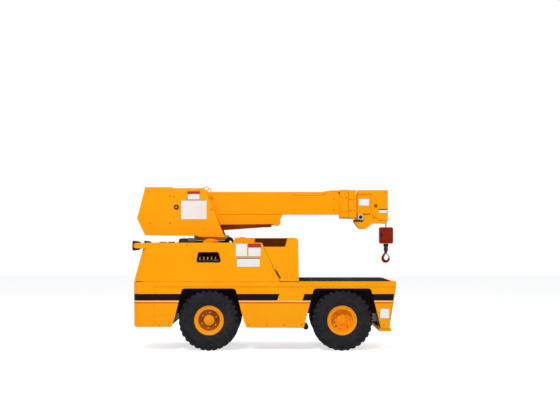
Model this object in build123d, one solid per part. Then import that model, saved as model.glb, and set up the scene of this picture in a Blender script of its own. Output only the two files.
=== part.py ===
from build123d import *
import math
import os

os.makedirs("parts", exist_ok=True)

# The frame: x forward, y to the left, z up, the floor at z = 0

# Main sizes
WHEELBASE = 1685
HALF_WIDTH = 725
REAR_AXLE_X = -712
FRONT_AXLE_X = REAR_AXLE_X + WHEELBASE
SHEET = 8
PANEL = 10
DECK_Z = 882

# Tyres
TYRE_RADIUS = 385
TYRE_WIDTH = 214
TYRE_INSET = 30
TYRE_OUTER_Y = HALF_WIDTH - TYRE_INSET
WHEEL_Y = TYRE_OUTER_Y - TYRE_WIDTH / 2
AXLE_Z = TYRE_RADIUS
TREAD_WIDTH = TYRE_WIDTH - 48
BEAD_INSET = 18
BEAD_DROP = 5
SIDEWALL_RADIUS = 288
LUG_COUNT = 18
LUG_HEIGHT = 18
LUG_LENGTH = 44
LUG_INNER_Y = 8
LUG_SHOULDER = 14
LUG_DROP = 62
TYRE_SIDES = LUG_COUNT

# Rims
RIM_RADIUS = 196
RIM_WIDTH = 150
RIM_SIDES = TYRE_SIDES
RIM_FLANGE = 8
RIM_SEAT_DROP = 6
RIM_SEAT_INSET = 17
RIM_FACE_DROP = 14
DISH_STEP = 60
DISC = 12
FRONT_DISC_Y = -40
REAR_DISC_Y = 35
HUB_RADIUS = 72
HUB_TAPER = 16
HUB_PROUD = 12
FRONT_HUB_PROUD = 14
HUB_GAP = 1

# Body panels
SKIRT_Z = 285
BAND_Z = 814
BAND_BULGE = 8
PLATE_OUT_Y = HALF_WIDTH - BAND_BULGE
PLATE_IN_Y = PLATE_OUT_Y - PANEL
PANEL_REAR_LIFT = 20
ARCH_TOP_Z = 792
ARCH_KNEE_Z = 400
ARCH_CORNER = 40
REAR_ARCH = (336, 436, 480)
FRONT_ARCH = (359, 460, 487)
BODY_REAR_X = -1662
BODY_FRONT_X = FRONT_AXLE_X + 677
CHIN_X = BODY_FRONT_X - 85
CORNER_RADIUS = 85
BUMPER_FOOT = (-125, 28)
BUMPER_FOOT_DROP = 35
BUMPER_FOOT_INSET = 20
TREAD_FRONT_X = BODY_FRONT_X - 60
TREAD_INSET = 12
TREAD_THICKNESS = 4
CUT_MARGIN = 100

# Counterweight
WEIGHT_FRONT_X = -1400
WEIGHT_BOTTOM_Z = 305
WEIGHT_REAR_WALL = 110
WEIGHT_CHEEK = 60
WEIGHT_LOW_CORNER = 30

# Chassis
RAIL_INNER_Y = 195
RAIL_WIDTH = 60
RAIL_OUTER_Y = RAIL_INNER_Y + RAIL_WIDTH
BEAM_HALF_HEIGHT = 45
AXLE_PAD = 20
AXLE_PAD_HALF_LENGTH = 60
RAIL_BOTTOM_Z = AXLE_Z + BEAM_HALF_HEIGHT + AXLE_PAD
RAIL_HEIGHT = 150
RAIL_TOP_Z = RAIL_BOTTOM_Z + RAIL_HEIGHT
RAIL_WALL = 10
RAIL_REAR_X = -1545
RAIL_FRONT_X = FRONT_AXLE_X + 567
RAIL_CAP = 12
BULKHEAD = 12
BULKHEAD_GAP = 8
BULKHEAD_LOW_Z = SKIRT_Z + 30
FRONT_WALL_X = FRONT_AXLE_X - FRONT_ARCH[2] - BULKHEAD_GAP - BULKHEAD
BULKHEAD_PLACES = (
    REAR_AXLE_X - REAR_ARCH[2] - BULKHEAD_GAP - BULKHEAD,
    REAR_AXLE_X + REAR_ARCH[2] + BULKHEAD_GAP,
    FRONT_WALL_X,
    FRONT_AXLE_X + FRONT_ARCH[2] + BULKHEAD_GAP,
)
TURNTABLE_PLATE = 20
TURNTABLE_PLATE_HALF = 260
SHELF_LAP = 40
FLOOR_Z = RAIL_TOP_Z + SHEET

# Engine
ENGINE_REAR_X = -1470
ENGINE_FRONT_X = -1010
ENGINE_HALF_WIDTH = 185
ENGINE_BOTTOM_Z = 500
ENGINE_TOP_Z = 1180
ENGINE_CHAMFER = 60
ENGINE_ROOM = 20
ENGINE_SIDE_ROOM = 8

# Hoods
HOOD_TOP_Z = 1368
HOOD_TOP_REAR_X = -1527
HOOD_INNER_Y = 310
HOOD_FOOT_FRONT_X = FRONT_WALL_X - 279
HOOD_TOP_FRONT_X = HOOD_FOOT_FRONT_X - 233
LEFT_HOOD_FRONT_X = FRONT_WALL_X - 796
SHELF_TIE_X = LEFT_HOOD_FRONT_X - 170
WINDOW = ((-871, 1118), (-555, 1118), (-587, 1251), (-845, 1251))
WINDOW_CORNER = 22
GRILLE_SLATS = 5
GRILLE_MARGIN = 60
GRILLE_END_MARGIN = 70
GRILLE_DEPTH = 30
SLAT_WIDTH = 44
SLAT_THICKNESS = 5
SLAT_TILT = 35
RING_ROOM = 30

# Hydraulic valves and tank
VALVE_SHELF = (-880, -540)
VALVE_SHELF_Z = 1090
VALVE_OUTER_Y = HALF_WIDTH - 25
VALVE_INNER_Y = 500
VALVE_BODY = (-850, -600)
VALVE_BODY_HEIGHT = 52
VALVE_BODY_WIDTH = 100
VALVE_COUNT = 5
VALVE_PITCH = 50
VALVE_RADIUS = 16
VALVE_SIDES = 8
VALVE_HEIGHT = 50
TANK_REAR_X = -420
TANK_FRONT_X = FRONT_WALL_X - 611
TANK_TOP_Z = 1431
TANK_LEAN = 22
TANK_CORNER = 20

# Cowl and operator's station
WALL_TOP_Z = 1314
WALL_LEAN = 207
COWL_TOP_Z = 1430
COWL_FRONT_X = FRONT_WALL_X - 41
COWL_LEAN = 10
COWL_REAR_X = COWL_FRONT_X - 144
COWL_SIDE_LEAN = 31
COWL_LEFT_LEAN = 11
COWL_CORNER = 40
COWL_COVER_LAP = 200
CENTRE_WALL_Y = 60
STATION_INNER_Y = PLATE_IN_Y - 2 * SHEET + 6
BACK_WALL_RISE = 30
STATION_BEND = 40
STEP_REAR_X = FRONT_WALL_X - 526
STEP_FRONT_X = FRONT_WALL_X - 196
STEP_MARGIN = 40
STEP_LOW_GAP = 60
STEP_HIGH_GAP = 70
REAR_WALL_LEAN = 60
REAR_WALL_CORNER = 50

# Seat
SEAT_X = FRONT_WALL_X - 536
SEAT_Y = HALF_WIDTH - 305
SEAT_Z = 860
SEAT_BASE_HALF = 190
SEAT_PAD = (-220, 240)
SEAT_PAD_HALF_WIDTH = 230
SEAT_PAD_THICKNESS = 100
SEAT_PAD_CHAMFER = 30
BACK_PAD_FOOT = (-222, -118)
BACK_PAD_HEAD = (-230, -145)
BACK_PAD_TOP_Z = 1360
BACK_PAD_HALF_WIDTH = 220
BACK_PAD_CHAMFER = 25

# Controls
STEERING_WHEEL_X = FRONT_WALL_X - 276
STEERING_WHEEL_Z = 1240
STEERING_WHEEL_RADIUS = 165
STEERING_RIM_RADIUS = 13
STEERING_RIM_SIDES = 16
STEERING_HUB_RADIUS = 35
STEERING_HUB_HALF = 14
SPOKE = (150, 22, 8)
SPOKE_MIDDLE = 90
COLUMN_TILT = 40
COLUMN_RADIUS = 22
COLUMN_LENGTH = 280
DASH_REAR_X = COWL_FRONT_X - 80
DASH_BOTTOM_Z = 980
DASH_CORNER = 25
LEVER_STAND = (-275, -165)
LEVER_STAND_WIDTH = 105
LEVER_STAND_TOP_Z = 1060
LEVER_X = COWL_FRONT_X - 220
LEVER_COUNT = 5
LEVER_PITCH = 19
LEVER_RADIUS = 4
LEVER_HEIGHT = 130
KNOB_RADIUS = 8
KNOB_HEIGHT = 30
PEDAL = (110, 80, 12)
PEDAL_X = FRONT_WALL_X - 81
PEDAL_Z = FLOOR_Z + 112
PEDAL_TILT = 35
PEDAL_OFFSETS = (-120, 40)
PEDAL_ARM = 12

# Lamps
HEADLAMP_Y = HALF_WIDTH - 165
HEADLAMP_Z = 560
HEADLAMP_RADIUS = 62
HEADLAMP_DEPTH = 60
HEADLAMP_INSET = 70
LAMP_SIDES = 12
TAIL_END_X = -1680
TAIL_LAMP_Y = HALF_WIDTH - 85
TAIL_LAMP_Z = 1331
TAIL_CAN_LENGTH = 116
TAIL_CAN_RADIUS = 64
TAIL_CAN_WALL = 6
TAIL_CAN_BACK = 50
LENS_DEPTH = 18
LENS_RADIUS = 53
LENS_THICKNESS = 14
ARM_X = -1625
ARM_FRONT_X = -1480
ARM_HALF_HEIGHT = 34
ARM_INSET = 5
ARM_THICKNESS = 14

# Exhaust
EXHAUST_X = FRONT_WALL_X + 49
EXHAUST_Z = 300
EXHAUST_RADIUS = 35
EXHAUST_WALL = 4
EXHAUST_END_Y = HALF_WIDTH - 85
EXHAUST_INNER_Y = HALF_WIDTH - 425
EXHAUST_BORE_DEPTH = 80
HANGER_Y = HALF_WIDTH - 325
HANGER_WIDTH = 20
HANGER_HEIGHT = 40

# Axles and steering
FRONT_TUBE_RADIUS = 52
BOWL_HALF_WIDTH = 120
BOWL_RADIUS = 126
BOWL_SIDES = 16
KINGPIN_Y = WHEEL_Y - 118
KINGPIN_RADIUS = 20
KINGPIN_HALF = 112
BEAM_HALF_LENGTH = 50
YOKE_DEPTH = 60
YOKE_HALF_LENGTH = 38
YOKE_HALF_HEIGHT = 105
YOKE_WEB = 24
YOKE_TAB = 30
KNUCKLE_HALF = (28, 32, 73)
SPINDLE_RADIUS = 30
STEER_ARM = 130
STEER_ARM_HALF_WIDTH = 18
STEER_ARM_DROP = (70, 50)
TIE_ROD_X = REAR_AXLE_X + STEER_ARM - 22
TIE_ROD_REACH = KINGPIN_Y - 10
TIE_ROD_Z = AXLE_Z - 88
TIE_ROD_RADIUS = 14
ROD_SIDES = 6
TIE_ROD_END_RADIUS = 19
TIE_ROD_END = (AXLE_Z - 104, AXLE_Z - 71)

# Turntable and turret
SWING_X = REAR_AXLE_X
PEDESTAL_RADIUS = 190
PEDESTAL_WALL = 14
PEDESTAL_FLANGE = 22
FLANGE_LIP = 12
BEARING_RADIUS = 235
BEARING_BOTTOM_Z = 1350
BEARING_SPLIT_Z = 1396
BEARING_GAP = 2
RING_SIDES = 18
BEARING_SIDES = 24
TURRET_HALF_WIDTH = 300
TURRET_PLATE = 12
TURRET_FLOOR_Z = 1466
TURRET_FLOOR = 20
TURRET_FLOOR_X = (-1555, -570)
TURRET_TOP_Z = 2076
TURRET_COVER = 12
TURRET_REAR_X = -1563
TURRET_BACK_X = -1666
TURRET_BACK_Z = 1680
TURRET_REAR_WALL = 13
TURRET_BASE_Z = 1458
TURRET_FRONT_X = -529
TURRET_OUTLINE = (
    (TURRET_REAR_X, TURRET_TOP_Z),
    (TURRET_BACK_X, TURRET_BACK_Z),
    (TURRET_REAR_X, TURRET_FLOOR_Z),
    (-876, TURRET_BASE_Z),
    (-876, TURRET_BASE_Z - 13),
    (TURRET_FRONT_X, TURRET_BASE_Z - 17),
    (-650, 1733),
    (-793, TURRET_TOP_Z),
)
COVER_FRONT_X = -1211
COVER_NOTCH_X = -1310
COVER_NOTCH_ROOM = 20
PIN_HEAD = 6
PIN_HEAD_RIM = 8
PIN_HEAD_SIDES = 8

# Boom
PIVOT_X = -1156
PIVOT_Z = 1829
PIVOT_PIN_RADIUS = 31
PIVOT_BOSS = 22
PIVOT_SIDE_GAP = 6
BOSS_SIDES = 12
BOOM_BOTTOM_Z = 1738
BOOM_HEIGHT = 296
BOOM_TOP_Z = BOOM_BOTTOM_Z + BOOM_HEIGHT
BOOM_WIDTH = 256
BOOM_WALL = 8
SECTION_GAP = 6
SECTION_STEP = BOOM_WALL + SECTION_GAP
BOOM_REAR_X = -1240
COLLAR_1 = (976, 1084)
COLLAR_2 = (1087, 1190)
COLLAR_PROUD = 16
COLLAR_CHAMFER = 14
COLLAR_TOP_Z = 2062
COLLAR_BOTTOM_Z = 1686
COLLAR_DROP = 4
WEDGE_X = (734, 855)
WEDGE_TOP_Z = 2054
WEDGE_INSET = 10
BRACKET_PLATE = 16
BRACKET_TOP_X = (-660, 226)
BRACKET_LOW = ((-598, 1604), (164, 1612))
EYE_BOSS_RADIUS = 46
EYE_BOSS_WIDTH = 48
EYE_BOSS_PROUD = 8
MID_REAR_X = -700
TIP_REAR_X = -500

# Boom head
TIP_HALF_WIDTH = BOOM_WIDTH / 2 - 2 * SECTION_STEP
TIP_BOTTOM_Z = BOOM_BOTTOM_Z + 2 * SECTION_STEP
TIP_TOP_Z = BOOM_TOP_Z - 2 * SECTION_STEP
HEAD_REAR_X = 1193
HEAD_FRONT_X = 1606
HEAD_TOP_Z = 2058
HEAD_PLATE = 12
HEAD_LID_INSET = 20
TIP_SETBACK = 8
NOSE_REAR_X = 1389
NOSE_BOTTOM_Z = 1621
NOSE_LIFT = (36, 44)
NOSE_CHIN = 90
NOSE_LAP = 4
BELLY_LOW_Z = 1546
BELLY_FLAT = (1235, 1315)
BELLY_RISE = (1380, 1598)
BELLY_TOP_Z = COLLAR_BOTTOM_Z - 12
BELLY_REAR = (1161, 1644)
BELLY_TOE = 21
BELLY_SETBACK = 6
BELLY_CORNER = 60
JIB_PIN_X = 1446
JIB_PIN_Z = 1851
JIB_PIN_RADIUS = 23
SHAFT_RADIUS = 15
SHAFT_LAP = 4
DRUM_X = 1302
DRUM_Z = 1650
DRUM_RADIUS = 72
DRUM_FLANGE = 8
DRUM_STEP = 18
MOTOR_X = 1246
MOTOR_Z = 1702
MOTOR_RADIUS = 40
MOTOR_LENGTH = 34
MOTOR_CUP = 26
MOTOR_CUP_DEPTH = 14
SHEAVE_X = 1535
SHEAVE_Z = 1700
SHEAVE_RADIUS = 55
SHEAVE_RIM = 9
SHEAVE_HALF = 14
GROOVE_HALF = 7
WHEEL_SIDES = 12

# Lift cylinder
CYLINDER_BASE_X = -811
CYLINDER_BASE_Z = 1567
CYLINDER_EYE_X = 147
CYLINDER_EYE_Z = 1636
CYLINDER_SPAN = math.hypot(CYLINDER_EYE_X - CYLINDER_BASE_X, CYLINDER_EYE_Z - CYLINDER_BASE_Z)
CYLINDER_ANGLE = math.degrees(math.atan2(CYLINDER_EYE_Z - CYLINDER_BASE_Z, CYLINDER_EYE_X - CYLINDER_BASE_X))
BARREL_LENGTH = CYLINDER_SPAN - 70
BARREL_RADIUS = 57
BARREL_SIDES = 16
BARREL_BORE = 45
BARREL_REAR = 60
BARREL_END_WALL = 20
GLAND = 60
ROD_RADIUS = 32
PISTON = (90, 150)
EYE_RADIUS = 48
EYE_WIDTH = 90
BARREL_EYE_WIDTH = 110
CYLINDER_PIN_RADIUS = 25
EYE_PIN_HALF = 86
LUG_PLATE = 20
LUG_GAP = 6
LUG_FOOT = 90
LUG_HEAD = 45
LUG_RISE = 50

# Rope, hook block and hook
ROPE_RADIUS = 7
ROPE_X = SHEAVE_X + SHEAVE_RADIUS
ROPE_END_Z = 1371
BLOCK_TOP_Z = 1571
BLOCK_BOTTOM_Z = 1355
BLOCK_REAR_X = 1502
BLOCK_FRONT_X = 1680
BLOCK_HALF_DEPTH = 70
BLOCK_CORNER = 24
SOCKET_ROOM = 4
SHANK_RADIUS = 13
SHANK_LAP = 10
HOOK_GAP = 2
NECK_LOW_Z = 1225
NECK_SHOULDER = 37
NECK_RADII = (16, 26, 33)
NECK_SIDES = 10
HOOK_SIDES = 8
HOOK_BOW = (
    ((-2, 1236), 13),
    ((-22, 1212), 14),
    ((-40, 1182), 17),
    ((-42, 1152), 20),
    ((-28, 1127), 21),
    ((0, 1118), 20),
    ((26, 1127), 17),
    ((40, 1150), 13),
    ((43, 1176), 9),
    ((38, 1190), 6),
)

# Clearances
RUN_CLEARANCE = 0.05
SLIDE_CLEARANCE = 1.0
GAP = 0.4

RIGHT = -1
LEFT = 1
SIDES = {"right": RIGHT, "left": LEFT}


# Helpers

def corner_arc(before, corner, after, radius, steps):
    """Points on a rounded corner between two straight sides."""
    corner = Vector(*corner)
    to_before = (Vector(*before) - corner).normalized()
    to_after = (Vector(*after) - corner).normalized()
    half_angle = math.radians(to_before.get_angle(to_after) / 2)
    centre = corner + (to_before + to_after).normalized() * (radius / math.sin(half_angle))
    start = corner + to_before * (radius / math.tan(half_angle)) - centre
    end = corner + to_after * (radius / math.tan(half_angle)) - centre
    sweep = math.pi - 2 * half_angle
    points = []
    for step in range(steps + 1):
        share = step / steps
        arm = (start * math.sin((1 - share) * sweep) + end * math.sin(share * sweep)) * (1 / math.sin(sweep))
        points.append((centre.X + arm.X, centre.Y + arm.Y))
    return points


def outline(points, corners=(), steps=3):
    """A face through the points; corners gives the place in the list and the radius of each rounded corner."""
    radii = dict(corners)
    drawn = []
    for place, point in enumerate(points):
        if place in radii:
            after = points[(place + 1) % len(points)]
            drawn += corner_arc(points[place - 1], point, after, radii[place], steps)
        else:
            drawn.append(point)
    return make_face(Polyline(*drawn, close=True))


def side_plane(y):
    """The side view's plane at y: its first axis is forward, its second is up."""
    return Plane(origin=(0, y, 0), x_dir=(1, 0, 0), z_dir=(0, -1, 0))


def side_plate(face, y_a, y_b):
    """A plate drawn in the side view and cut from y_a to y_b."""
    low, high = sorted((y_a, y_b))
    return side_plane(high) * extrude(face, high - low)


def block(x, y, z):
    """A box between two x values, two y values and two z values."""
    x, y, z = sorted(x), sorted(y), sorted(z)
    box = Box(x[1] - x[0], y[1] - y[0], z[1] - z[0], align=(Align.MIN, Align.MIN, Align.MIN))
    return Pos(x[0], y[0], z[0]) * box


def around(middle, half):
    """The two ends of a span about its middle."""
    return middle - half, middle + half


def disc_face(radius, sides):
    """A circle, or a many-sided face inside it where sides is given."""
    if sides is None:
        return Circle(radius)
    return RegularPolygon(radius, sides)


def outside(radius, sides):
    """The size of a many-sided hole that just clears a round bar."""
    return radius / math.cos(math.pi / sides)


def cross_bar(x, z, radius, y_a, y_b, sides=None):
    """A round bar across the machine."""
    low, high = sorted((y_a, y_b))
    return side_plane(high) * Pos(x, z, 0) * extrude(disc_face(radius, sides), high - low)


def post(x, y, radius, z_a, z_b, sides=None):
    """A round upright bar."""
    return Pos(x, y, z_a) * extrude(disc_face(radius, sides), z_b - z_a)


def faceted_ring(profile, sides):
    """A many-sided ring about the y axis through the profile's (y, r) points."""
    def corner(point, step):
        y, r = point
        turn = 2 * math.pi * step / sides
        return (r * math.cos(turn), y, r * math.sin(turn))

    faces = []
    for step in range(sides):
        for first, second in zip(profile, profile[1:] + profile[:1]):
            if first[1] == 0 and second[1] == 0:
                continue
            loop = [corner(first, step), corner(second, step)]
            if second[1] > 0:
                loop.append(corner(second, step + 1))
            if first[1] > 0:
                loop.append(corner(first, step + 1))
            faces.append(Face(Wire.make_polygon(loop, close=True)))
    return Solid(Shell(faces))


def mirrored(part):
    return mirror(part, about=Plane.XZ)


def save(node, part):
    export_step(part, f"parts/{node}.step")


# Body panels

def arch_outline(axle_x, halves):
    """A wheel arch in the side view, open at the bottom."""
    top, knee, foot = halves
    right_half = [(top, ARCH_TOP_Z), (knee, ARCH_KNEE_Z), (foot, SKIRT_Z), (foot, SKIRT_Z - CUT_MARGIN)]
    left_half = [(-x, z) for x, z in reversed(right_half)]
    points = [(axle_x + x, z) for x, z in left_half + right_half]
    return outline(points, [(3, ARCH_CORNER), (4, ARCH_CORNER)])


def front_x(z):
    """The body's leaning front at height z."""
    if z >= BAND_Z:
        return BODY_FRONT_X
    share = (BAND_Z - z) / (BAND_Z - SKIRT_Z)
    return BODY_FRONT_X + share * (CHIN_X - BODY_FRONT_X)


def side_panel(side):
    """A long side plate with both wheel arches and a raised band along its top."""
    points = [
        (WEIGHT_FRONT_X, SKIRT_Z + PANEL_REAR_LIFT),
        (front_x(SKIRT_Z) - PANEL, SKIRT_Z),
        (front_x(BAND_Z) - PANEL, BAND_Z),
        (front_x(BAND_Z) - PANEL, DECK_Z - SHEET),
        (WEIGHT_FRONT_X, DECK_Z - SHEET),
    ]
    plate = side_plate(outline(points), side * PLATE_IN_Y, side * PLATE_OUT_Y)
    band = block((WEIGHT_FRONT_X, BODY_FRONT_X - PANEL), (side * PLATE_OUT_Y, side * HALF_WIDTH),
                 (BAND_Z, DECK_Z - SHEET))
    panel = plate + band
    through = (side * (HALF_WIDTH - CUT_MARGIN), side * (HALF_WIDTH + CUT_MARGIN))
    for axle_x, halves in ((REAR_AXLE_X, REAR_ARCH), (FRONT_AXLE_X, FRONT_ARCH)):
        panel -= side_plate(arch_outline(axle_x, halves), *through)
    if side == LEFT:
        panel -= block((STEP_REAR_X, STEP_FRONT_X), through, (FLOOR_Z, DECK_Z))
        panel -= block((STEP_REAR_X + STEP_MARGIN, STEP_FRONT_X - STEP_MARGIN), through,
                       (SKIRT_Z + STEP_LOW_GAP, FLOOR_Z - STEP_HIGH_GAP))
    return panel


def counterweight():
    """A cast weight that wraps round the rear, with rounded corners."""
    plan = outline([
        (BODY_REAR_X, -HALF_WIDTH),
        (WEIGHT_FRONT_X, -HALF_WIDTH),
        (WEIGHT_FRONT_X, HALF_WIDTH),
        (BODY_REAR_X, HALF_WIDTH),
    ], [(0, CORNER_RADIUS), (3, CORNER_RADIUS)], 5)
    side_view = outline([
        (BODY_REAR_X, WEIGHT_BOTTOM_Z),
        (WEIGHT_FRONT_X, WEIGHT_BOTTOM_Z),
        (WEIGHT_FRONT_X, DECK_Z - SHEET),
        (BODY_REAR_X, DECK_Z - SHEET),
    ], [(0, WEIGHT_LOW_CORNER)])
    weight = Pos(0, 0, WEIGHT_BOTTOM_Z) * extrude(plan, DECK_Z - SHEET - WEIGHT_BOTTOM_Z)
    weight &= side_plate(side_view, -HALF_WIDTH, HALF_WIDTH)
    inside = HALF_WIDTH - WEIGHT_CHEEK
    return weight - block((BODY_REAR_X + WEIGHT_REAR_WALL, WEIGHT_FRONT_X), (-inside, inside),
                          (WEIGHT_BOTTOM_Z, DECK_Z))


def front_bumper():
    """The leaning front plate with its foot flange and lamp holes."""
    shape = outline([
        (CHIN_X - PANEL, SKIRT_Z),
        (CHIN_X, SKIRT_Z),
        (BODY_FRONT_X, BAND_Z),
        (BODY_FRONT_X, DECK_Z - SHEET),
        (BODY_FRONT_X - PANEL, DECK_Z - SHEET),
        (BODY_FRONT_X - PANEL, BAND_Z),
    ])
    bumper = side_plate(shape, -HALF_WIDTH, HALF_WIDTH)
    foot_y = HALF_WIDTH - BUMPER_FOOT_INSET
    bumper += block((CHIN_X + BUMPER_FOOT[0], CHIN_X + BUMPER_FOOT[1]), (-foot_y, foot_y),
                    (SKIRT_Z - BUMPER_FOOT_DROP, SKIRT_Z))
    hole = extrude(RegularPolygon(HEADLAMP_RADIUS + PIN_HEAD, LAMP_SIDES), 2 * CUT_MARGIN)
    for side in SIDES.values():
        bumper -= Pos(CHIN_X - HEADLAMP_DEPTH, side * HEADLAMP_Y, HEADLAMP_Z) * Rot(0, 90, 0) * hole
    return bumper


def headlamps():
    """A round lamp set into the front plate on each side."""
    lamps = Part()
    back_x = front_x(HEADLAMP_Z) - HEADLAMP_INSET
    for side in SIDES.values():
        place = Pos(back_x, side * HEADLAMP_Y, HEADLAMP_Z) * Rot(0, 90, 0)
        lamps += place * extrude(RegularPolygon(HEADLAMP_RADIUS, LAMP_SIDES), HEADLAMP_DEPTH)
    return lamps


def deck_plate():
    """The flat carrying deck."""
    return block((COWL_FRONT_X + BEARING_GAP, BODY_FRONT_X), (-HALF_WIDTH, HALF_WIDTH), (DECK_Z - SHEET, DECK_Z))


def deck_tread():
    """The non-skid covering, short of the deck's rounded nose."""
    half = HALF_WIDTH - TREAD_INSET
    return block((COWL_FRONT_X + TREAD_INSET / 2, TREAD_FRONT_X), (-half, half), (DECK_Z, DECK_Z + TREAD_THICKNESS))


# Chassis weldment

def rail(side):
    """A box rail, hollow along its whole length."""
    outer = block((RAIL_REAR_X, RAIL_FRONT_X), (side * RAIL_INNER_Y, side * RAIL_OUTER_Y),
                  (RAIL_BOTTOM_Z, RAIL_TOP_Z))
    inner = block((RAIL_REAR_X, RAIL_FRONT_X),
                  (side * (RAIL_INNER_Y + RAIL_WALL), side * (RAIL_OUTER_Y - RAIL_WALL)),
                  (RAIL_BOTTOM_Z + RAIL_WALL, RAIL_TOP_Z - RAIL_WALL))
    return outer - inner


def bulkhead(x, left_top_z):
    """A cross plate; its left side may stop lower, under the operator's floor."""
    plate = block((x, x + BULKHEAD), (-PLATE_IN_Y, CENTRE_WALL_Y), (BULKHEAD_LOW_Z, DECK_Z - SHEET))
    return plate + block((x, x + BULKHEAD), (CENTRE_WALL_Y, PLATE_IN_Y), (BULKHEAD_LOW_Z, left_top_z))


def chassis_frame():
    """Two box rails joined by four bulkheads, with the shelves that carry the hoods."""
    frame = rail(RIGHT) + rail(LEFT)
    under_floor_z = FLOOR_Z - SHEET
    under_deck_z = DECK_Z - SHEET
    for x, left_top_z in zip(BULKHEAD_PLACES, (under_deck_z, under_floor_z, under_deck_z, under_deck_z)):
        frame += bulkhead(x, left_top_z)
    shelf_z = (under_deck_z - SHEET, under_deck_z)
    shelf_y = HOOD_INNER_Y - SHELF_LAP
    frame += block((WEIGHT_FRONT_X, FRONT_WALL_X), (-PLATE_IN_Y, -shelf_y), shelf_z)
    frame += block((WEIGHT_FRONT_X, LEFT_HOOD_FRONT_X), (PLATE_IN_Y, shelf_y), shelf_z)
    frame += block((SHELF_TIE_X, SHELF_TIE_X + BULKHEAD), (-PLATE_IN_Y, PLATE_IN_Y),
                   (ARCH_TOP_Z + PANEL, under_deck_z))
    frame += block(around(SWING_X, TURNTABLE_PLATE_HALF), (-RAIL_OUTER_Y, RAIL_OUTER_Y),
                   (RAIL_TOP_Z, RAIL_TOP_Z + TURNTABLE_PLATE))
    for cap_x in (RAIL_REAR_X, RAIL_FRONT_X - RAIL_CAP):
        frame += block((cap_x, cap_x + RAIL_CAP), (-RAIL_OUTER_Y, RAIL_OUTER_Y), (RAIL_BOTTOM_Z, RAIL_TOP_Z))
    half = ENGINE_HALF_WIDTH + ENGINE_SIDE_ROOM
    return frame - block((ENGINE_REAR_X - ENGINE_ROOM, ENGINE_FRONT_X + ENGINE_ROOM), (-half, half),
                         (ENGINE_BOTTOM_Z - ENGINE_ROOM, DECK_Z))


def turret_pedestal():
    """The upright tube and the fixed half of the turntable bearing."""
    foot = RAIL_TOP_Z + TURNTABLE_PLATE
    flange = BEARING_BOTTOM_Z - PEDESTAL_FLANGE
    bore = PEDESTAL_RADIUS - PEDESTAL_WALL
    lip = BEARING_RADIUS + FLANGE_LIP
    profile = [(foot, bore), (foot, PEDESTAL_RADIUS), (flange, PEDESTAL_RADIUS), (flange, lip),
               (BEARING_BOTTOM_Z, lip), (BEARING_BOTTOM_Z, BEARING_RADIUS),
               (BEARING_SPLIT_Z, BEARING_RADIUS), (BEARING_SPLIT_Z, bore)]
    return Pos(SWING_X, 0, 0) * Rot(90, 0, 0) * faceted_ring(profile, RING_SIDES)


# Hoods

def hood_shell(side, front_top_x, front_foot_x):
    """One side's hood: a folded sheet shell, open below and towards the middle."""
    points = [
        (BODY_REAR_X, DECK_Z),
        (HOOD_TOP_REAR_X, HOOD_TOP_Z),
        (front_top_x, HOOD_TOP_Z),
        (front_foot_x, DECK_Z),
    ]
    body = side_plate(outline(points), side * HOOD_INNER_Y, side * HALF_WIDTH)
    outer_edges = [
        edge for edge in body.edges()
        if edge.center().Z > DECK_Z + 1 and abs(edge.center().Y) > HOOD_INNER_Y + 1
    ]
    body = fillet(min(outer_edges, key=lambda edge: edge.center().X), CORNER_RADIUS)
    inner_points = [
        (BODY_REAR_X + SHEET, DECK_Z - 1),
        (HOOD_TOP_REAR_X + SHEET, HOOD_TOP_Z - SHEET),
        (front_top_x - SHEET, HOOD_TOP_Z - SHEET),
        (front_foot_x - SHEET, DECK_Z - 1),
    ]
    core = side_plate(outline(inner_points), side * (HOOD_INNER_Y - PANEL), side * (HALF_WIDTH - SHEET))
    inner_edges = [
        edge for edge in core.edges()
        if abs(edge.center().Y) > HALF_WIDTH - SHEET - 1 and edge.center().X < HOOD_TOP_REAR_X
    ]
    core = fillet(inner_edges, CORNER_RADIUS - SHEET)
    return body - core


def hood_right():
    """The long hood with its four-sided window."""
    shell = hood_shell(RIGHT, HOOD_TOP_FRONT_X, HOOD_FOOT_FRONT_X)
    window = outline(WINDOW, [(place, WINDOW_CORNER) for place in range(4)], 2)
    return shell - side_plate(window, -HALF_WIDTH - PANEL, -HALF_WIDTH + 2 * PANEL)


def hood_left():
    """The short hood behind the operator."""
    return hood_shell(LEFT, LEFT_HOOD_FRONT_X, LEFT_HOOD_FRONT_X)


def rear_grille():
    """The leaning radiator frame with its slats, and the cover plate over the engine."""
    half = HOOD_INNER_Y - 1
    front = TANK_REAR_X - 4
    cover = side_plate(outline([
        (BODY_REAR_X, DECK_Z),
        (HOOD_TOP_REAR_X, HOOD_TOP_Z),
        (front, HOOD_TOP_Z),
        (front, HOOD_TOP_Z - SHEET),
        (HOOD_TOP_REAR_X + GRILLE_DEPTH, HOOD_TOP_Z - SHEET),
        (BODY_REAR_X + GRILLE_DEPTH, DECK_Z),
    ]), -half, half)
    cover -= post(SWING_X, 0, BEARING_RADIUS + RING_ROOM, DECK_Z, HOOD_TOP_Z + PANEL, RING_SIDES)
    low_z = DECK_Z + GRILLE_END_MARGIN
    high_z = HOOD_TOP_Z - GRILLE_END_MARGIN
    hole_y = half - GRILLE_MARGIN
    cover -= block((BODY_REAR_X - GRILLE_DEPTH, HOOD_TOP_REAR_X + 2 * GRILLE_DEPTH), (-hole_y, hole_y),
                   (low_z, high_z))
    lean = (HOOD_TOP_REAR_X - BODY_REAR_X) / (HOOD_TOP_Z - DECK_Z)
    pitch = (high_z - low_z) / GRILLE_SLATS
    for place in range(GRILLE_SLATS):
        z = low_z + (place + 0.5) * pitch
        x = BODY_REAR_X + lean * (z - DECK_Z) + GRILLE_DEPTH / 2
        cover += Pos(x, 0, z) * Rot(0, SLAT_TILT, 0) * Box(SLAT_WIDTH, 2 * hole_y + PANEL, SLAT_THICKNESS)
    return cover


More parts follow.
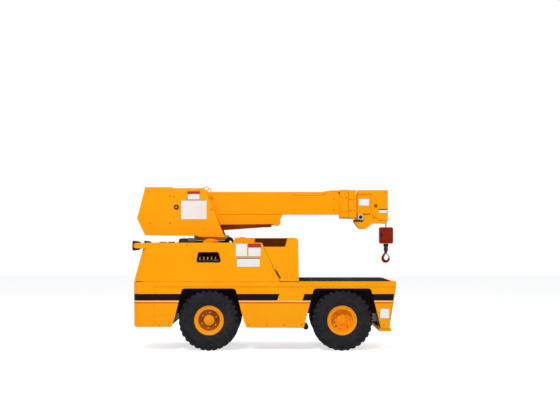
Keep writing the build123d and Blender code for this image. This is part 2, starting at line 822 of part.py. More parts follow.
def engine_block():
    """The engine as one plain block between the rails."""
    engine = block((ENGINE_REAR_X, ENGINE_FRONT_X), (-ENGINE_HALF_WIDTH, ENGINE_HALF_WIDTH),
                   (ENGINE_BOTTOM_Z, ENGINE_TOP_Z))
    return chamfer(engine.edges().filter_by(Axis.X).group_by(Axis.Z)[-1], ENGINE_CHAMFER)


def valve_bank():
    """The hydraulic valves behind the hood's window, on their shelf."""
    shelf_top = VALVE_SHELF_Z + SHEET
    body_top = shelf_top + VALVE_BODY_HEIGHT
    middle_y = -(VALVE_OUTER_Y + VALVE_INNER_Y) / 2 - PANEL
    bank = block(VALVE_SHELF, (-VALVE_OUTER_Y, -VALVE_INNER_Y), (VALVE_SHELF_Z, shelf_top))
    bank += block(VALVE_BODY, around(middle_y, VALVE_BODY_WIDTH / 2), (shelf_top, body_top))
    for place in range(VALVE_COUNT):
        bank += post(VALVE_BODY[0] + 2 * PANEL + VALVE_PITCH * place, middle_y, VALVE_RADIUS,
                     body_top, body_top + VALVE_HEIGHT, VALVE_SIDES)
    return bank + block(VALVE_SHELF, (-VALVE_INNER_Y - SHEET, -VALVE_INNER_Y), (DECK_Z, VALVE_SHELF_Z))


# Operator's station

def cowl():
    """The full-width front cowl with its right wall, low in the middle."""
    front_top_x = COWL_FRONT_X - COWL_LEAN
    wall_foot_x = HOOD_FOOT_FRONT_X + PEDAL_ARM / 3
    wall_points = [
        (wall_foot_x, DECK_Z),
        (wall_foot_x - WALL_LEAN, WALL_TOP_Z),
        (COWL_REAR_X - COWL_SIDE_LEAN, WALL_TOP_Z),
        (COWL_REAR_X, COWL_TOP_Z),
        (front_top_x, COWL_TOP_Z),
        (COWL_FRONT_X, DECK_Z),
    ]
    wall = side_plate(outline(wall_points, [(4, COWL_CORNER)]), -HALF_WIDTH, -HALF_WIDTH + SHEET)
    box_points = [
        (COWL_FRONT_X - SHEET, DECK_Z),
        (front_top_x - SHEET, COWL_TOP_Z - SHEET),
        (COWL_REAR_X, COWL_TOP_Z - SHEET),
        (COWL_REAR_X, COWL_TOP_Z),
        (front_top_x, COWL_TOP_Z),
        (COWL_FRONT_X, DECK_Z),
    ]
    box_corners = [(4, COWL_CORNER), (1, COWL_CORNER - SHEET)]
    front = side_plate(outline(box_points, box_corners), -HALF_WIDTH, HALF_WIDTH)
    left_points = [
        (COWL_REAR_X - COWL_LEFT_LEAN, DECK_Z),
        (COWL_REAR_X, COWL_TOP_Z),
        (front_top_x, COWL_TOP_Z),
        (COWL_FRONT_X, DECK_Z),
    ]
    left = side_plate(outline(left_points, [(2, COWL_CORNER)]), HALF_WIDTH - SHEET, HALF_WIDTH)
    cover = block((HOOD_FOOT_FRONT_X - COWL_COVER_LAP, COWL_FRONT_X - 2 * PANEL), (-HALF_WIDTH, CENTRE_WALL_Y),
                  (WALL_TOP_Z - SHEET, WALL_TOP_Z))
    return wall + front + left + cover


def hydraulic_tank():
    """The raised oil tank ahead of the turret."""
    points = [
        (TANK_REAR_X, HOOD_TOP_Z),
        (TANK_REAR_X + TANK_LEAN, TANK_TOP_Z),
        (TANK_FRONT_X, TANK_TOP_Z),
        (TANK_FRONT_X, DECK_Z - SHEET),
        (TANK_REAR_X, DECK_Z - SHEET),
    ]
    corners = [(1, TANK_CORNER), (2, TANK_CORNER)]
    return side_plate(outline(points, corners), -HOOD_INNER_Y + 2, CENTRE_WALL_Y - 2)


def station_walls():
    """The operator's floor, the walls behind and beside the seat, and the outer wall up to the way in."""
    inner = STATION_INNER_Y
    side_wall = block((LEFT_HOOD_FRONT_X + SHEET, COWL_REAR_X), (CENTRE_WALL_Y, CENTRE_WALL_Y + SHEET),
                      (FLOOR_Z, COWL_TOP_Z))
    back_x, floor_x = LEFT_HOOD_FRONT_X, LEFT_HOOD_FRONT_X + STATION_BEND
    floor = block((floor_x, FRONT_WALL_X), (CENTRE_WALL_Y, inner), (FLOOR_Z - SHEET, FLOOR_Z))
    back = side_plate(outline([
        (back_x, HOOD_TOP_Z + BACK_WALL_RISE),
        (back_x, FLOOR_Z + STATION_BEND),
        (floor_x, FLOOR_Z - SHEET),
        (floor_x + SHEET, FLOOR_Z),
        (back_x + SHEET, FLOOR_Z + STATION_BEND),
        (back_x + SHEET, HOOD_TOP_Z + BACK_WALL_RISE),
    ]), CENTRE_WALL_Y, inner)
    toe = block((FRONT_WALL_X - SHEET, FRONT_WALL_X), (CENTRE_WALL_Y, inner), (FLOOR_Z, DECK_Z - SHEET))
    outer = side_plate(outline([
        (LEFT_HOOD_FRONT_X + 2, DECK_Z),
        (LEFT_HOOD_FRONT_X + 2, HOOD_TOP_Z),
        (STEP_REAR_X - REAR_WALL_LEAN, HOOD_TOP_Z),
        (STEP_REAR_X, DECK_Z),
    ], [(2, REAR_WALL_CORNER)]), HALF_WIDTH - SHEET, HALF_WIDTH)
    return side_wall + floor + back + toe + outer


def seat_base():
    """The battery and tool box that carries the seat."""
    return block(around(SEAT_X, SEAT_BASE_HALF), around(SEAT_Y, SEAT_BASE_HALF), (FLOOR_Z, SEAT_Z))


def seat_cushion():
    """The seat's pad."""
    pad = block((SEAT_X + SEAT_PAD[0], SEAT_X + SEAT_PAD[1]), around(SEAT_Y, SEAT_PAD_HALF_WIDTH),
                (SEAT_Z, SEAT_Z + SEAT_PAD_THICKNESS))
    return chamfer(pad.edges(), SEAT_PAD_CHAMFER)


def seat_back():
    """The leaning pad behind the operator."""
    foot_z = SEAT_Z + SEAT_PAD_THICKNESS + 2
    pad = side_plate(outline([
        (SEAT_X + BACK_PAD_FOOT[0], foot_z),
        (SEAT_X + BACK_PAD_HEAD[0], BACK_PAD_TOP_Z),
        (SEAT_X + BACK_PAD_HEAD[1], BACK_PAD_TOP_Z),
        (SEAT_X + BACK_PAD_FOOT[1], foot_z),
    ]), *around(SEAT_Y, BACK_PAD_HALF_WIDTH))
    return chamfer(pad.edges(), BACK_PAD_CHAMFER)


def steering_wheel():
    """A three-spoke wheel on its column, which reaches into the dashboard."""
    place = Pos(STEERING_WHEEL_X, SEAT_Y, STEERING_WHEEL_Z) * Rot(0, -COLUMN_TILT, 0)
    corners = [math.pi / 3 * step for step in range(6)]
    section = [(STEERING_RIM_RADIUS * math.sin(turn), STEERING_WHEEL_RADIUS + STEERING_RIM_RADIUS * math.cos(turn))
               for turn in corners]
    wheel = Rot(90, 0, 0) * faceted_ring(section, STEERING_RIM_SIDES)
    wheel += extrude(RegularPolygon(STEERING_HUB_RADIUS, BOSS_SIDES), STEERING_HUB_HALF, both=True)
    for turn in range(3):
        wheel += Rot(0, 0, 120 * turn) * Pos(SPOKE_MIDDLE, 0, 0) * Box(*SPOKE)
    wheel += Pos(0, 0, -STEERING_HUB_HALF - COLUMN_LENGTH) * extrude(
        RegularPolygon(COLUMN_RADIUS, LAMP_SIDES), COLUMN_LENGTH)
    return place * wheel - block((DASH_REAR_X, COWL_FRONT_X), around(SEAT_Y, CUT_MARGIN), (FLOOR_Z, COWL_TOP_Z))


def dashboard():
    """The closed instrument housing behind the cowl."""
    front = COWL_FRONT_X - COWL_LEAN - SHEET - 1
    points = [
        (DASH_REAR_X, DASH_BOTTOM_Z),
        (DASH_REAR_X, COWL_TOP_Z - SHEET),
        (front, COWL_TOP_Z - SHEET),
        (front, DASH_BOTTOM_Z),
    ]
    corners = [(0, DASH_CORNER), (2, COWL_CORNER - SHEET)]
    return side_plate(outline(points, corners), CENTRE_WALL_Y + SHEET, HALF_WIDTH - SHEET)


def controls():
    """The crane's lever row on its stand beside the seat, and the two pedals."""
    wall_y = CENTRE_WALL_Y + SHEET
    stand = block((COWL_FRONT_X + LEVER_STAND[0], COWL_FRONT_X + LEVER_STAND[1]),
                  (wall_y, wall_y + LEVER_STAND_WIDTH), (FLOOR_Z, LEVER_STAND_TOP_Z))
    knob_z = LEVER_STAND_TOP_Z + LEVER_HEIGHT
    for place in range(LEVER_COUNT):
        y = wall_y + TREAD_INSET + LEVER_PITCH * place
        stand += post(LEVER_X, y, LEVER_RADIUS, LEVER_STAND_TOP_Z, knob_z, 4)
        stand += post(LEVER_X, y, KNOB_RADIUS, knob_z, knob_z + KNOB_HEIGHT, 6)
    for offset in PEDAL_OFFSETS:
        y = SEAT_Y + offset
        stand += Pos(PEDAL_X, y, PEDAL_Z) * Rot(0, -PEDAL_TILT, 0) * Box(*PEDAL)
        stand += block((PEDAL_X, FRONT_WALL_X - SHEET), around(y, PEDAL_ARM), (PEDAL_Z - PEDAL_ARM, PEDAL_Z))
    return stand


# Lamps and exhaust

def tail_lamps():
    """A tapered lamp can on each rear corner."""
    floor = TAIL_CAN_LENGTH - LENS_DEPTH
    can = faceted_ring([
        (0, 0),
        (0, TAIL_CAN_BACK),
        (TAIL_CAN_LENGTH, TAIL_CAN_RADIUS),
        (TAIL_CAN_LENGTH, TAIL_CAN_RADIUS - TAIL_CAN_WALL),
        (floor, TAIL_CAN_RADIUS - TAIL_CAN_WALL),
        (floor, 0),
    ], LAMP_SIDES)
    cans = Part()
    for side in SIDES.values():
        cans += Pos(TAIL_END_X + TAIL_CAN_LENGTH, side * TAIL_LAMP_Y, TAIL_LAMP_Z) * Rot(0, 0, 90) * can
    return cans


def tail_lenses():
    """The lens inside each can's rim."""
    disc = faceted_ring([(0, 0), (0, LENS_RADIUS), (LENS_THICKNESS / 2, LENS_RADIUS), (LENS_THICKNESS, 0)],
                        LAMP_SIDES)
    lenses = Part()
    for side in SIDES.values():
        lenses += Pos(TAIL_END_X + LENS_DEPTH, side * TAIL_LAMP_Y, TAIL_LAMP_Z) * Rot(0, 0, 90) * disc
    return lenses


def tail_lamp_arms(hoods):
    """The round-ended arms that hold the lamps, cut to seat on the hoods' corners."""
    rear = ARM_X - ARM_HALF_HEIGHT
    low, high = around(TAIL_LAMP_Z, ARM_HALF_HEIGHT)
    face = outline([(rear, low), (ARM_FRONT_X, low), (ARM_FRONT_X, high), (rear, high)],
                   [(0, ARM_HALF_HEIGHT - 1), (3, ARM_HALF_HEIGHT - 1)])
    arms = Part()
    outer = HALF_WIDTH - ARM_INSET
    for side in SIDES.values():
        arm = side_plate(face, side * (outer - ARM_THICKNESS), side * outer)
        arms += (arm - hoods[side]).solids().sort_by(Axis.X)[0]
    return arms


def exhaust():
    """The tailpipe end between the wheels, on a hanger from the bulkhead."""
    pipe = cross_bar(EXHAUST_X, EXHAUST_Z, EXHAUST_RADIUS, -EXHAUST_END_Y, -EXHAUST_INNER_Y, LAMP_SIDES)
    pipe += block((FRONT_WALL_X + BULKHEAD, EXHAUST_X), (-HANGER_Y - HANGER_WIDTH, -HANGER_Y),
                  (EXHAUST_Z + HANGER_WIDTH, EXHAUST_Z + HANGER_WIDTH + HANGER_HEIGHT))
    return pipe - cross_bar(EXHAUST_X, EXHAUST_Z, EXHAUST_RADIUS - EXHAUST_WALL, -EXHAUST_END_Y,
                            -EXHAUST_END_Y + EXHAUST_BORE_DEPTH, LAMP_SIDES)


# Axles and steering

def axle_pad(axle_x, side, low_z):
    """The block between an axle and its rail."""
    return block(around(axle_x, AXLE_PAD_HALF_LENGTH), (side * RAIL_INNER_Y, side * RAIL_OUTER_Y),
                 (low_z, RAIL_BOTTOM_Z))


def front_axle():
    """The drive axle: a differential bowl, its tubes and the hub flanges."""
    hub_y = WHEEL_Y + FRONT_DISC_Y - DISC - HUB_GAP
    axle = cross_bar(FRONT_AXLE_X, AXLE_Z, FRONT_TUBE_RADIUS, -hub_y, hub_y, BOSS_SIDES)
    third = BOWL_HALF_WIDTH / 3
    bowl = faceted_ring([
        (-BOWL_HALF_WIDTH, 0),
        (-2 * third, BOWL_RADIUS * 2 / 3),
        (-third, BOWL_RADIUS),
        (third, BOWL_RADIUS),
        (2 * third, BOWL_RADIUS * 2 / 3),
        (BOWL_HALF_WIDTH, 0),
    ], BOWL_SIDES)
    axle += Pos(FRONT_AXLE_X, 0, AXLE_Z) * bowl
    for side in SIDES.values():
        axle += axle_pad(FRONT_AXLE_X, side, AXLE_Z)
    return axle


def rear_axle_beam():
    """The steered axle's box beam with a yoke at each end."""
    web_y = KINGPIN_Y - YOKE_DEPTH
    length = around(REAR_AXLE_X, YOKE_HALF_LENGTH)
    beam = block(around(REAR_AXLE_X, BEAM_HALF_LENGTH), (-web_y, web_y), around(AXLE_Z, BEAM_HALF_HEIGHT))
    for side in SIDES.values():
        yoke = block(length, (side * (web_y - YOKE_WEB), side * (KINGPIN_Y + YOKE_TAB)),
                     around(AXLE_Z, YOKE_HALF_HEIGHT))
        yoke -= block(length, (side * web_y, side * (KINGPIN_Y + YOKE_TAB)),
                      around(AXLE_Z, YOKE_HALF_HEIGHT - YOKE_TAB))
        yoke -= post(REAR_AXLE_X, side * KINGPIN_Y, outside(KINGPIN_RADIUS + RUN_CLEARANCE, BOSS_SIDES),
                     AXLE_Z - KINGPIN_HALF, AXLE_Z + KINGPIN_HALF, BOSS_SIDES)
        beam += yoke + axle_pad(REAR_AXLE_X, side, AXLE_Z + BEAM_HALF_HEIGHT)
    return beam


def knuckle(side):
    """A steering knuckle: kingpin, spindle and steering arm."""
    y = side * KINGPIN_Y
    hub_y = WHEEL_Y + REAR_DISC_Y - DISC - HUB_GAP
    half_x, half_y, half_z = KNUCKLE_HALF
    part = post(REAR_AXLE_X, y, KINGPIN_RADIUS, AXLE_Z, AXLE_Z + KINGPIN_HALF)
    part += post(REAR_AXLE_X, y, KINGPIN_RADIUS, AXLE_Z - KINGPIN_HALF, AXLE_Z, BOSS_SIDES)
    part += block(around(REAR_AXLE_X, half_x), around(y, half_y), around(AXLE_Z, half_z))
    part += cross_bar(REAR_AXLE_X, AXLE_Z, SPINDLE_RADIUS, side * (KINGPIN_Y + half_x), side * hub_y, BOSS_SIDES)
    return part + block((REAR_AXLE_X, REAR_AXLE_X + STEER_ARM), around(side * TIE_ROD_REACH, STEER_ARM_HALF_WIDTH),
                        (AXLE_Z - STEER_ARM_DROP[0], AXLE_Z - STEER_ARM_DROP[1]))


def tie_rod():
    """The rod that joins the two steering arms."""
    rod = cross_bar(TIE_ROD_X, TIE_ROD_Z, TIE_ROD_RADIUS, -TIE_ROD_REACH, TIE_ROD_REACH, ROD_SIDES)
    rod += post(TIE_ROD_X, RIGHT * TIE_ROD_REACH, TIE_ROD_END_RADIUS, *TIE_ROD_END)
    return rod + post(TIE_ROD_X, LEFT * TIE_ROD_REACH, TIE_ROD_END_RADIUS, *TIE_ROD_END, BOSS_SIDES)


# Wheels

def tyre():
    """A tyre with heavy bar lugs that reach from the crown over each shoulder, one at the very bottom."""
    half_width = TYRE_WIDTH / 2
    half = [
        (RIM_WIDTH / 2 - BEAD_INSET, RIM_RADIUS - BEAD_DROP),
        (half_width, SIDEWALL_RADIUS),
        (TREAD_WIDTH / 2, TYRE_RADIUS - LUG_HEIGHT),
    ]
    carcass = faceted_ring(half + [(-y, r) for y, r in reversed(half)], TYRE_SIDES)
    lug_points = [
        (LUG_INNER_Y, TYRE_RADIUS - 2 * LUG_HEIGHT),
        (LUG_INNER_Y, TYRE_RADIUS),
        (half_width - LUG_SHOULDER, TYRE_RADIUS),
        (half_width - 1, TYRE_RADIUS - LUG_DROP),
    ]
    lug_face = make_face(Polyline(*[(0, y, r) for y, r in lug_points], close=True))
    lug = extrude(lug_face, LUG_LENGTH / 2, dir=(1, 0, 0), both=True)
    other = mirrored(lug)
    pitch = 360 / LUG_COUNT
    lugs = []
    for place in range(LUG_COUNT):
        lugs.append(Rot(0, pitch * place, 0) * lug)
        lugs.append(Rot(0, pitch * (place + 0.5), 0) * other)
    return Rot(0, 180, 0) * carcass.fuse(*[piece.solid() for piece in lugs])


def wheel_rim(deep):
    """A pressed rim with its disc and hub in (y, r), outer side at positive y."""
    half = RIM_WIDTH / 2
    disc_y = FRONT_DISC_Y if deep else REAR_DISC_Y
    hub_y = disc_y + FRONT_HUB_PROUD if deep else half + HUB_PROUD
    seat = RIM_RADIUS - RIM_SEAT_DROP
    return faceted_ring([
        (disc_y - DISC, 0),
        (disc_y - DISC, RIM_RADIUS - 2 * RIM_SEAT_INSET),
        (-half, RIM_RADIUS - RIM_SEAT_INSET),
        (-half, RIM_RADIUS + RIM_FLANGE),
        (RIM_SEAT_INSET - half, seat),
        (half - RIM_SEAT_INSET, seat),
        (half, RIM_RADIUS + RIM_FLANGE),
        (half, RIM_RADIUS - RIM_FACE_DROP),
        (disc_y, RIM_RADIUS - DISH_STEP),
        (disc_y, HUB_RADIUS),
        (hub_y, HUB_RADIUS - HUB_TAPER),
        (hub_y, 0),
    ], RIM_SIDES)


def place_wheel(part, axle_x, side):
    """A wheel is made with its outer side towards +y, so the right ones are mirrored."""
    turned = part if side == LEFT else mirrored(part)
    return Pos(axle_x, side * WHEEL_Y, AXLE_Z) * turned


# Turret

def turret():
    """Two side plates on a round base, closed at the rear and over the top, with both pins."""
    inner = TURRET_HALF_WIDTH - TURRET_PLATE
    floor_top = TURRET_FLOOR_Z + TURRET_FLOOR
    body = block(TURRET_FLOOR_X, (-inner, inner), (TURRET_FLOOR_Z, floor_top))
    body += side_plate(outline([
        (TURRET_REAR_X, TURRET_TOP_Z),
        (TURRET_BACK_X, TURRET_BACK_Z),
        (TURRET_REAR_X, TURRET_FLOOR_Z),
        (TURRET_REAR_X + TURRET_REAR_WALL, TURRET_FLOOR_Z),
        (TURRET_BACK_X + TURRET_REAR_WALL, TURRET_BACK_Z),
        (TURRET_REAR_X + TURRET_REAR_WALL, TURRET_TOP_Z),
    ]), -inner, inner)
    body += post(SWING_X, 0, BEARING_RADIUS, BEARING_SPLIT_Z + BEARING_GAP, TURRET_FLOOR_Z, BEARING_SIDES)
    face = outline(TURRET_OUTLINE)
    lug = outline([
        (CYLINDER_BASE_X - LUG_FOOT, floor_top),
        (CYLINDER_BASE_X + LUG_FOOT, floor_top),
        (CYLINDER_BASE_X + LUG_HEAD, CYLINDER_BASE_Z + LUG_RISE),
        (CYLINDER_BASE_X - LUG_HEAD, CYLINDER_BASE_Z + LUG_RISE),
    ])
    lug_y = BARREL_EYE_WIDTH / 2 + LUG_GAP
    for side in SIDES.values():
        body += side_plate(face, side * inner, side * TURRET_HALF_WIDTH)
        body += side_plate(lug, side * lug_y, side * (lug_y + LUG_PLATE))
        body += cross_bar(PIVOT_X, PIVOT_Z, PIVOT_PIN_RADIUS + PIN_HEAD_RIM, side * TURRET_HALF_WIDTH,
                          side * (TURRET_HALF_WIDTH + PIN_HEAD), PIN_HEAD_SIDES)
    body += cross_bar(CYLINDER_BASE_X, CYLINDER_BASE_Z, CYLINDER_PIN_RADIUS, -lug_y, lug_y)
    body += cross_bar(PIVOT_X, PIVOT_Z, PIVOT_PIN_RADIUS, -inner, inner)
    cover = block((TURRET_REAR_X, COVER_FRONT_X), (-TURRET_HALF_WIDTH, TURRET_HALF_WIDTH),
                  (TURRET_TOP_Z, TURRET_TOP_Z + TURRET_COVER))
    notch = BOOM_WIDTH / 2 + COVER_NOTCH_ROOM
    return body + (cover - block((COVER_NOTCH_X, COVER_FRONT_X), (-notch, notch),
                                 (TURRET_TOP_Z, TURRET_TOP_Z + TURRET_COVER)))


# Boom

def boom_tube(inset, x_rear, x_front):
    """A box section, inset on all four sides from the base section."""
    half = BOOM_WIDTH / 2 - inset
    low = BOOM_BOTTOM_Z + inset
    high = BOOM_TOP_Z - inset
    outer = block((x_rear, x_front), (-half, half), (low, high))
    inner_half = half - BOOM_WALL
    return outer - block((x_rear, x_front), (-inner_half, inner_half), (low + BOOM_WALL, high - BOOM_WALL))


def collar(span, inset, top_z, bottom_z):
    """A stiff band round a section's open end."""
    half = BOOM_WIDTH / 2 + COLLAR_PROUD
    hole_half = BOOM_WIDTH / 2 - inset - BOOM_WALL
    band = block(span, (-half, half), (bottom_z, top_z))
    band -= block(span, (-hole_half, hole_half),
                  (BOOM_BOTTOM_Z + inset + BOOM_WALL, BOOM_TOP_Z - inset - BOOM_WALL))
    outer = [edge for edge in band.edges().filter_by(Axis.X) if abs(edge.center().Y) > half - 1]
    return chamfer(outer, COLLAR_CHAMFER)


def boom_base():
    """The base section, its pivot bosses, front collar, top wedge and lift bracket."""
    base = boom_tube(0, BOOM_REAR_X, COLLAR_1[1])
    base += collar(COLLAR_1, 0, COLLAR_TOP_Z, COLLAR_BOTTOM_Z)
    wedge = outline([
        (WEDGE_X[0], BOOM_TOP_Z),
        (WEDGE_X[1], WEDGE_TOP_Z),
        (COLLAR_1[0], WEDGE_TOP_Z),
        (COLLAR_1[0], BOOM_TOP_Z),
    ])
    outer = BOOM_WIDTH / 2
    base += side_plate(wedge, -outer + WEDGE_INSET, outer - WEDGE_INSET)
    boss_y = TURRET_HALF_WIDTH - TURRET_PLATE - PIVOT_SIDE_GAP
    cheek = outline([(BRACKET_TOP_X[0], BOOM_BOTTOM_Z), *BRACKET_LOW, (BRACKET_TOP_X[1], BOOM_BOTTOM_Z)])
    for side in SIDES.values():
        base += cross_bar(PIVOT_X, PIVOT_Z, PIVOT_PIN_RADIUS + PIVOT_BOSS, side * outer, side * boss_y, BOSS_SIDES)
        base += side_plate(cheek, side * (outer - BRACKET_PLATE), side * outer)
        boss_end = outer + EYE_BOSS_PROUD
        base += cross_bar(CYLINDER_EYE_X, CYLINDER_EYE_Z, EYE_BOSS_RADIUS, side * (boss_end - EYE_BOSS_WIDTH),
                          side * boss_end, BOSS_SIDES)
    bore = outside(PIVOT_PIN_RADIUS + RUN_CLEARANCE, BOSS_SIDES)
    return base - cross_bar(PIVOT_X, PIVOT_Z, bore, -boss_y, boss_y, BOSS_SIDES)


def boom_mid():
    """The middle section with its own collar."""
    band = collar(COLLAR_2, SECTION_STEP, COLLAR_TOP_Z - COLLAR_DROP, COLLAR_BOTTOM_Z - COLLAR_DROP)
    return boom_tube(SECTION_STEP, MID_REAR_X, COLLAR_2[1]) + band


def boom_tip():
    """The last section with the boom head that carries the hoist."""
    tip = boom_tube(2 * SECTION_STEP, TIP_REAR_X, HEAD_FRONT_X - TIP_SETBACK)
    nose = outline([
        (NOSE_REAR_X, TIP_BOTTOM_Z - NOSE_LAP),
        (NOSE_REAR_X, HEAD_TOP_Z),
        (HEAD_FRONT_X, HEAD_TOP_Z),
        (HEAD_FRONT_X, NOSE_BOTTOM_Z + NOSE_LIFT[0]),
        (NOSE_REAR_X + NOSE_CHIN, NOSE_BOTTOM_Z + NOSE_LIFT[1]),
    ])
    front = HEAD_FRONT_X - BELLY_SETBACK
    belly = outline([
        (HEAD_REAR_X, TIP_BOTTOM_Z),
        (HEAD_REAR_X, BELLY_TOP_Z),
        (BELLY_REAR[0], BELLY_TOP_Z),
        BELLY_REAR,
        (BELLY_FLAT[0], BELLY_LOW_Z),
        (BELLY_FLAT[1], BELLY_LOW_Z),
        BELLY_RISE,
        (NOSE_REAR_X + BELLY_TOE, NOSE_BOTTOM_Z),
        (front, NOSE_BOTTOM_Z),
        (front, TIP_BOTTOM_Z),
    ], [(4, BELLY_CORNER), (5, BELLY_CORNER)])
    reach = TIP_HALF_WIDTH - HEAD_PLATE
    top_half = TIP_HALF_WIDTH + HEAD_PLATE
    for side in SIDES.values():
        tip += side_plate(nose, side * TIP_HALF_WIDTH, side * top_half)
        tip += side_plate(belly, side * reach, side * TIP_HALF_WIDTH)
    tip += block((HEAD_REAR_X + HEAD_LID_INSET, HEAD_FRONT_X), (-top_half, top_half), (TIP_TOP_Z, HEAD_TOP_Z))
    tip += cross_bar(SHEAVE_X, SHEAVE_Z, SHAFT_RADIUS, -reach - SHAFT_LAP, reach + SHAFT_LAP)
    return tip - cross_bar(JIB_PIN_X, JIB_PIN_Z, JIB_PIN_RADIUS, -top_half, top_half)


def hoist():
    """The hoist drum between the belly plates, its motor and the nose sheave."""
    inside = TIP_HALF_WIDTH - HEAD_PLATE - GAP
    core = DRUM_RADIUS - DRUM_STEP
    web = inside - DRUM_FLANGE
    drum = faceted_ring([(-inside, 0), (-inside, DRUM_RADIUS), (-web, DRUM_RADIUS), (-web, core),
                         (web, core), (web, DRUM_RADIUS), (inside, DRUM_RADIUS), (inside, 0)], WHEEL_SIDES)
    motor_end = -TIP_HALF_WIDTH - MOTOR_LENGTH
    motor = cross_bar(MOTOR_X, MOTOR_Z, MOTOR_RADIUS, -TIP_HALF_WIDTH, motor_end, LAMP_SIDES)
    motor -= cross_bar(MOTOR_X, MOTOR_Z, MOTOR_CUP, motor_end + MOTOR_CUP_DEPTH, motor_end, LAMP_SIDES)
    bore = outside(SHAFT_RADIUS + 1, WHEEL_SIDES)
    groove = SHEAVE_RADIUS - ROPE_RADIUS - GAP
    rim = SHEAVE_RADIUS + SHEAVE_RIM
    sheave = faceted_ring([(-SHEAVE_HALF, bore), (-SHEAVE_HALF, rim), (-GROOVE_HALF, groove), (GROOVE_HALF, groove),
                           (SHEAVE_HALF, rim), (SHEAVE_HALF, bore)], WHEEL_SIDES)
    return Pos(DRUM_X, 0, DRUM_Z) * drum + motor + Pos(SHEAVE_X, 0, SHEAVE_Z) * sheave


# Lift cylinder

def along_cylinder(part):
    """Moves a part drawn along +x from the base eye onto the cylinder's line."""
    return Pos(CYLINDER_BASE_X, 0, CYLINDER_BASE_Z) * Rot(0, -CYLINDER_ANGLE, 0) * part


def x_bar(x_a, x_b, radius, sides=None):
    """A round bar along the cylinder's line."""
    return Pos(x_a, 0, 0) * Rot(0, 90, 0) * extrude(disc_face(radius, sides), x_b - x_a)


def y_bar(x, radius, half, sides=None):
    """A round bar across the cylinder's line."""
    return Pos(x, 0, 0) * Rot(90, 0, 0) * extrude(disc_face(radius, sides), half, both=True)


def eye(x, neck_x, half):
    """A round-ended lug that joins the cylinder's line at neck_x."""
    low, high = -EYE_RADIUS, EYE_RADIUS
    end = x - EYE_RADIUS if neck_x > x else x + EYE_RADIUS
    face = outline([(neck_x, low), (end, low), (end, high), (neck_x, high)],
                   [(1, EYE_RADIUS - 1), (2, EYE_RADIUS - 1)])
    return side_plate(face, -half, half)


def lift_barrel():
    """The cylinder's barrel with its base eye and gland."""
    barrel = x_bar(BARREL_REAR, BARREL_LENGTH, BARREL_RADIUS, BARREL_SIDES)
    barrel += eye(0, BARREL_REAR, BARREL_EYE_WIDTH / 2)
    barrel -= x_bar(BARREL_REAR + BARREL_END_WALL, BARREL_LENGTH - GLAND, outside(BARREL_BORE, BOSS_SIDES),
                    BOSS_SIDES)
    barrel -= x_bar(BARREL_LENGTH - GLAND, BARREL_LENGTH, outside(ROD_RADIUS + GAP, BOSS_SIDES), BOSS_SIDES)
    bore = outside(CYLINDER_PIN_RADIUS + RUN_CLEARANCE, BOSS_SIDES)
    return along_cylinder(barrel - y_bar(0, bore, BARREL_EYE_WIDTH, BOSS_SIDES))


def lift_rod():
    """The cylinder's rod with its piston, its eye and the eye's pin."""
    rod = x_bar(PISTON[1], CYLINDER_SPAN - 2 * ROD_RADIUS / 3, ROD_RADIUS, BOSS_SIDES)
    rod += x_bar(*PISTON, BARREL_BORE - GAP, BOSS_SIDES)
    rod += eye(CYLINDER_SPAN, CYLINDER_SPAN - EYE_RADIUS / 2, EYE_WIDTH / 2)
    return along_cylinder(rod + y_bar(CYLINDER_SPAN, CYLINDER_PIN_RADIUS, EYE_PIN_HALF, BOSS_SIDES))


# Rope and hook

def hoist_rope():
    """The single fall of rope from the sheave to the block."""
    return post(ROPE_X, 0, ROPE_RADIUS, ROPE_END_Z, SHEAVE_Z, LAMP_SIDES)


def hook_block():
    """The headache weight that keeps the rope tight."""
    face = outline([(BLOCK_REAR_X, BLOCK_BOTTOM_Z), (BLOCK_FRONT_X, BLOCK_BOTTOM_Z),
                    (BLOCK_FRONT_X, BLOCK_TOP_Z), (BLOCK_REAR_X, BLOCK_TOP_Z)],
                   [(place, BLOCK_CORNER) for place in range(4)])
    body = side_plate(face, -BLOCK_HALF_DEPTH, BLOCK_HALF_DEPTH)
    socket_z = ROPE_END_Z - SOCKET_ROOM
    body -= post(ROPE_X, 0, outside(ROPE_RADIUS + SLIDE_CLEARANCE, ROD_SIDES), socket_z, BLOCK_TOP_Z,
                 ROD_SIDES)
    return body - post(ROPE_X, 0, SHANK_RADIUS + RUN_CLEARANCE, BLOCK_BOTTOM_Z, socket_z)


def bow():
    """The bent hook, thickest at its back and thin at its tip."""
    places = [(Vector(ROPE_X + x, 0, z), radius) for (x, z), radius in HOOK_BOW]
    across = Vector(0, 1, 0)
    rings = []
    for number, (centre, radius) in enumerate(places):
        before = places[max(number - 1, 0)][0]
        after = places[min(number + 1, len(places) - 1)][0]
        outward = (after - before).normalized().cross(across)
        ring = []
        for step in range(HOOK_SIDES):
            turn = 2 * math.pi * step / HOOK_SIDES
            ring.append(centre + across * (radius * math.cos(turn)) + outward * (radius * math.sin(turn)))
        rings.append(ring)
    loops = [rings[0], rings[-1]]
    for first, second in zip(rings, rings[1:]):
        for step in range(HOOK_SIDES):
            following = (step + 1) % HOOK_SIDES
            loops.append([first[step], first[following], second[step]])
            loops.append([first[following], second[following], second[step]])
    return Solid(Shell([Face(Wire.make_polygon(loop, close=True)) for loop in loops]))


def hook():
    """The swivel hook: its shank, neck and bent bow."""
    top_z = BLOCK_BOTTOM_Z - HOOK_GAP
    shank = post(ROPE_X, 0, SHANK_RADIUS, top_z - SHANK_LAP, BLOCK_BOTTOM_Z + SHANK_LAP, BOSS_SIDES)
    neck_top = top_z - NECK_LOW_Z
    low, middle, high = NECK_RADII
    neck = faceted_ring([(0, 0), (0, low), (NECK_SHOULDER, middle), (neck_top, high), (neck_top, 0)], NECK_SIDES)
    return shank + Pos(ROPE_X, 0, NECK_LOW_Z) * Rot(90, 0, 0) * neck + bow()


# Write every node

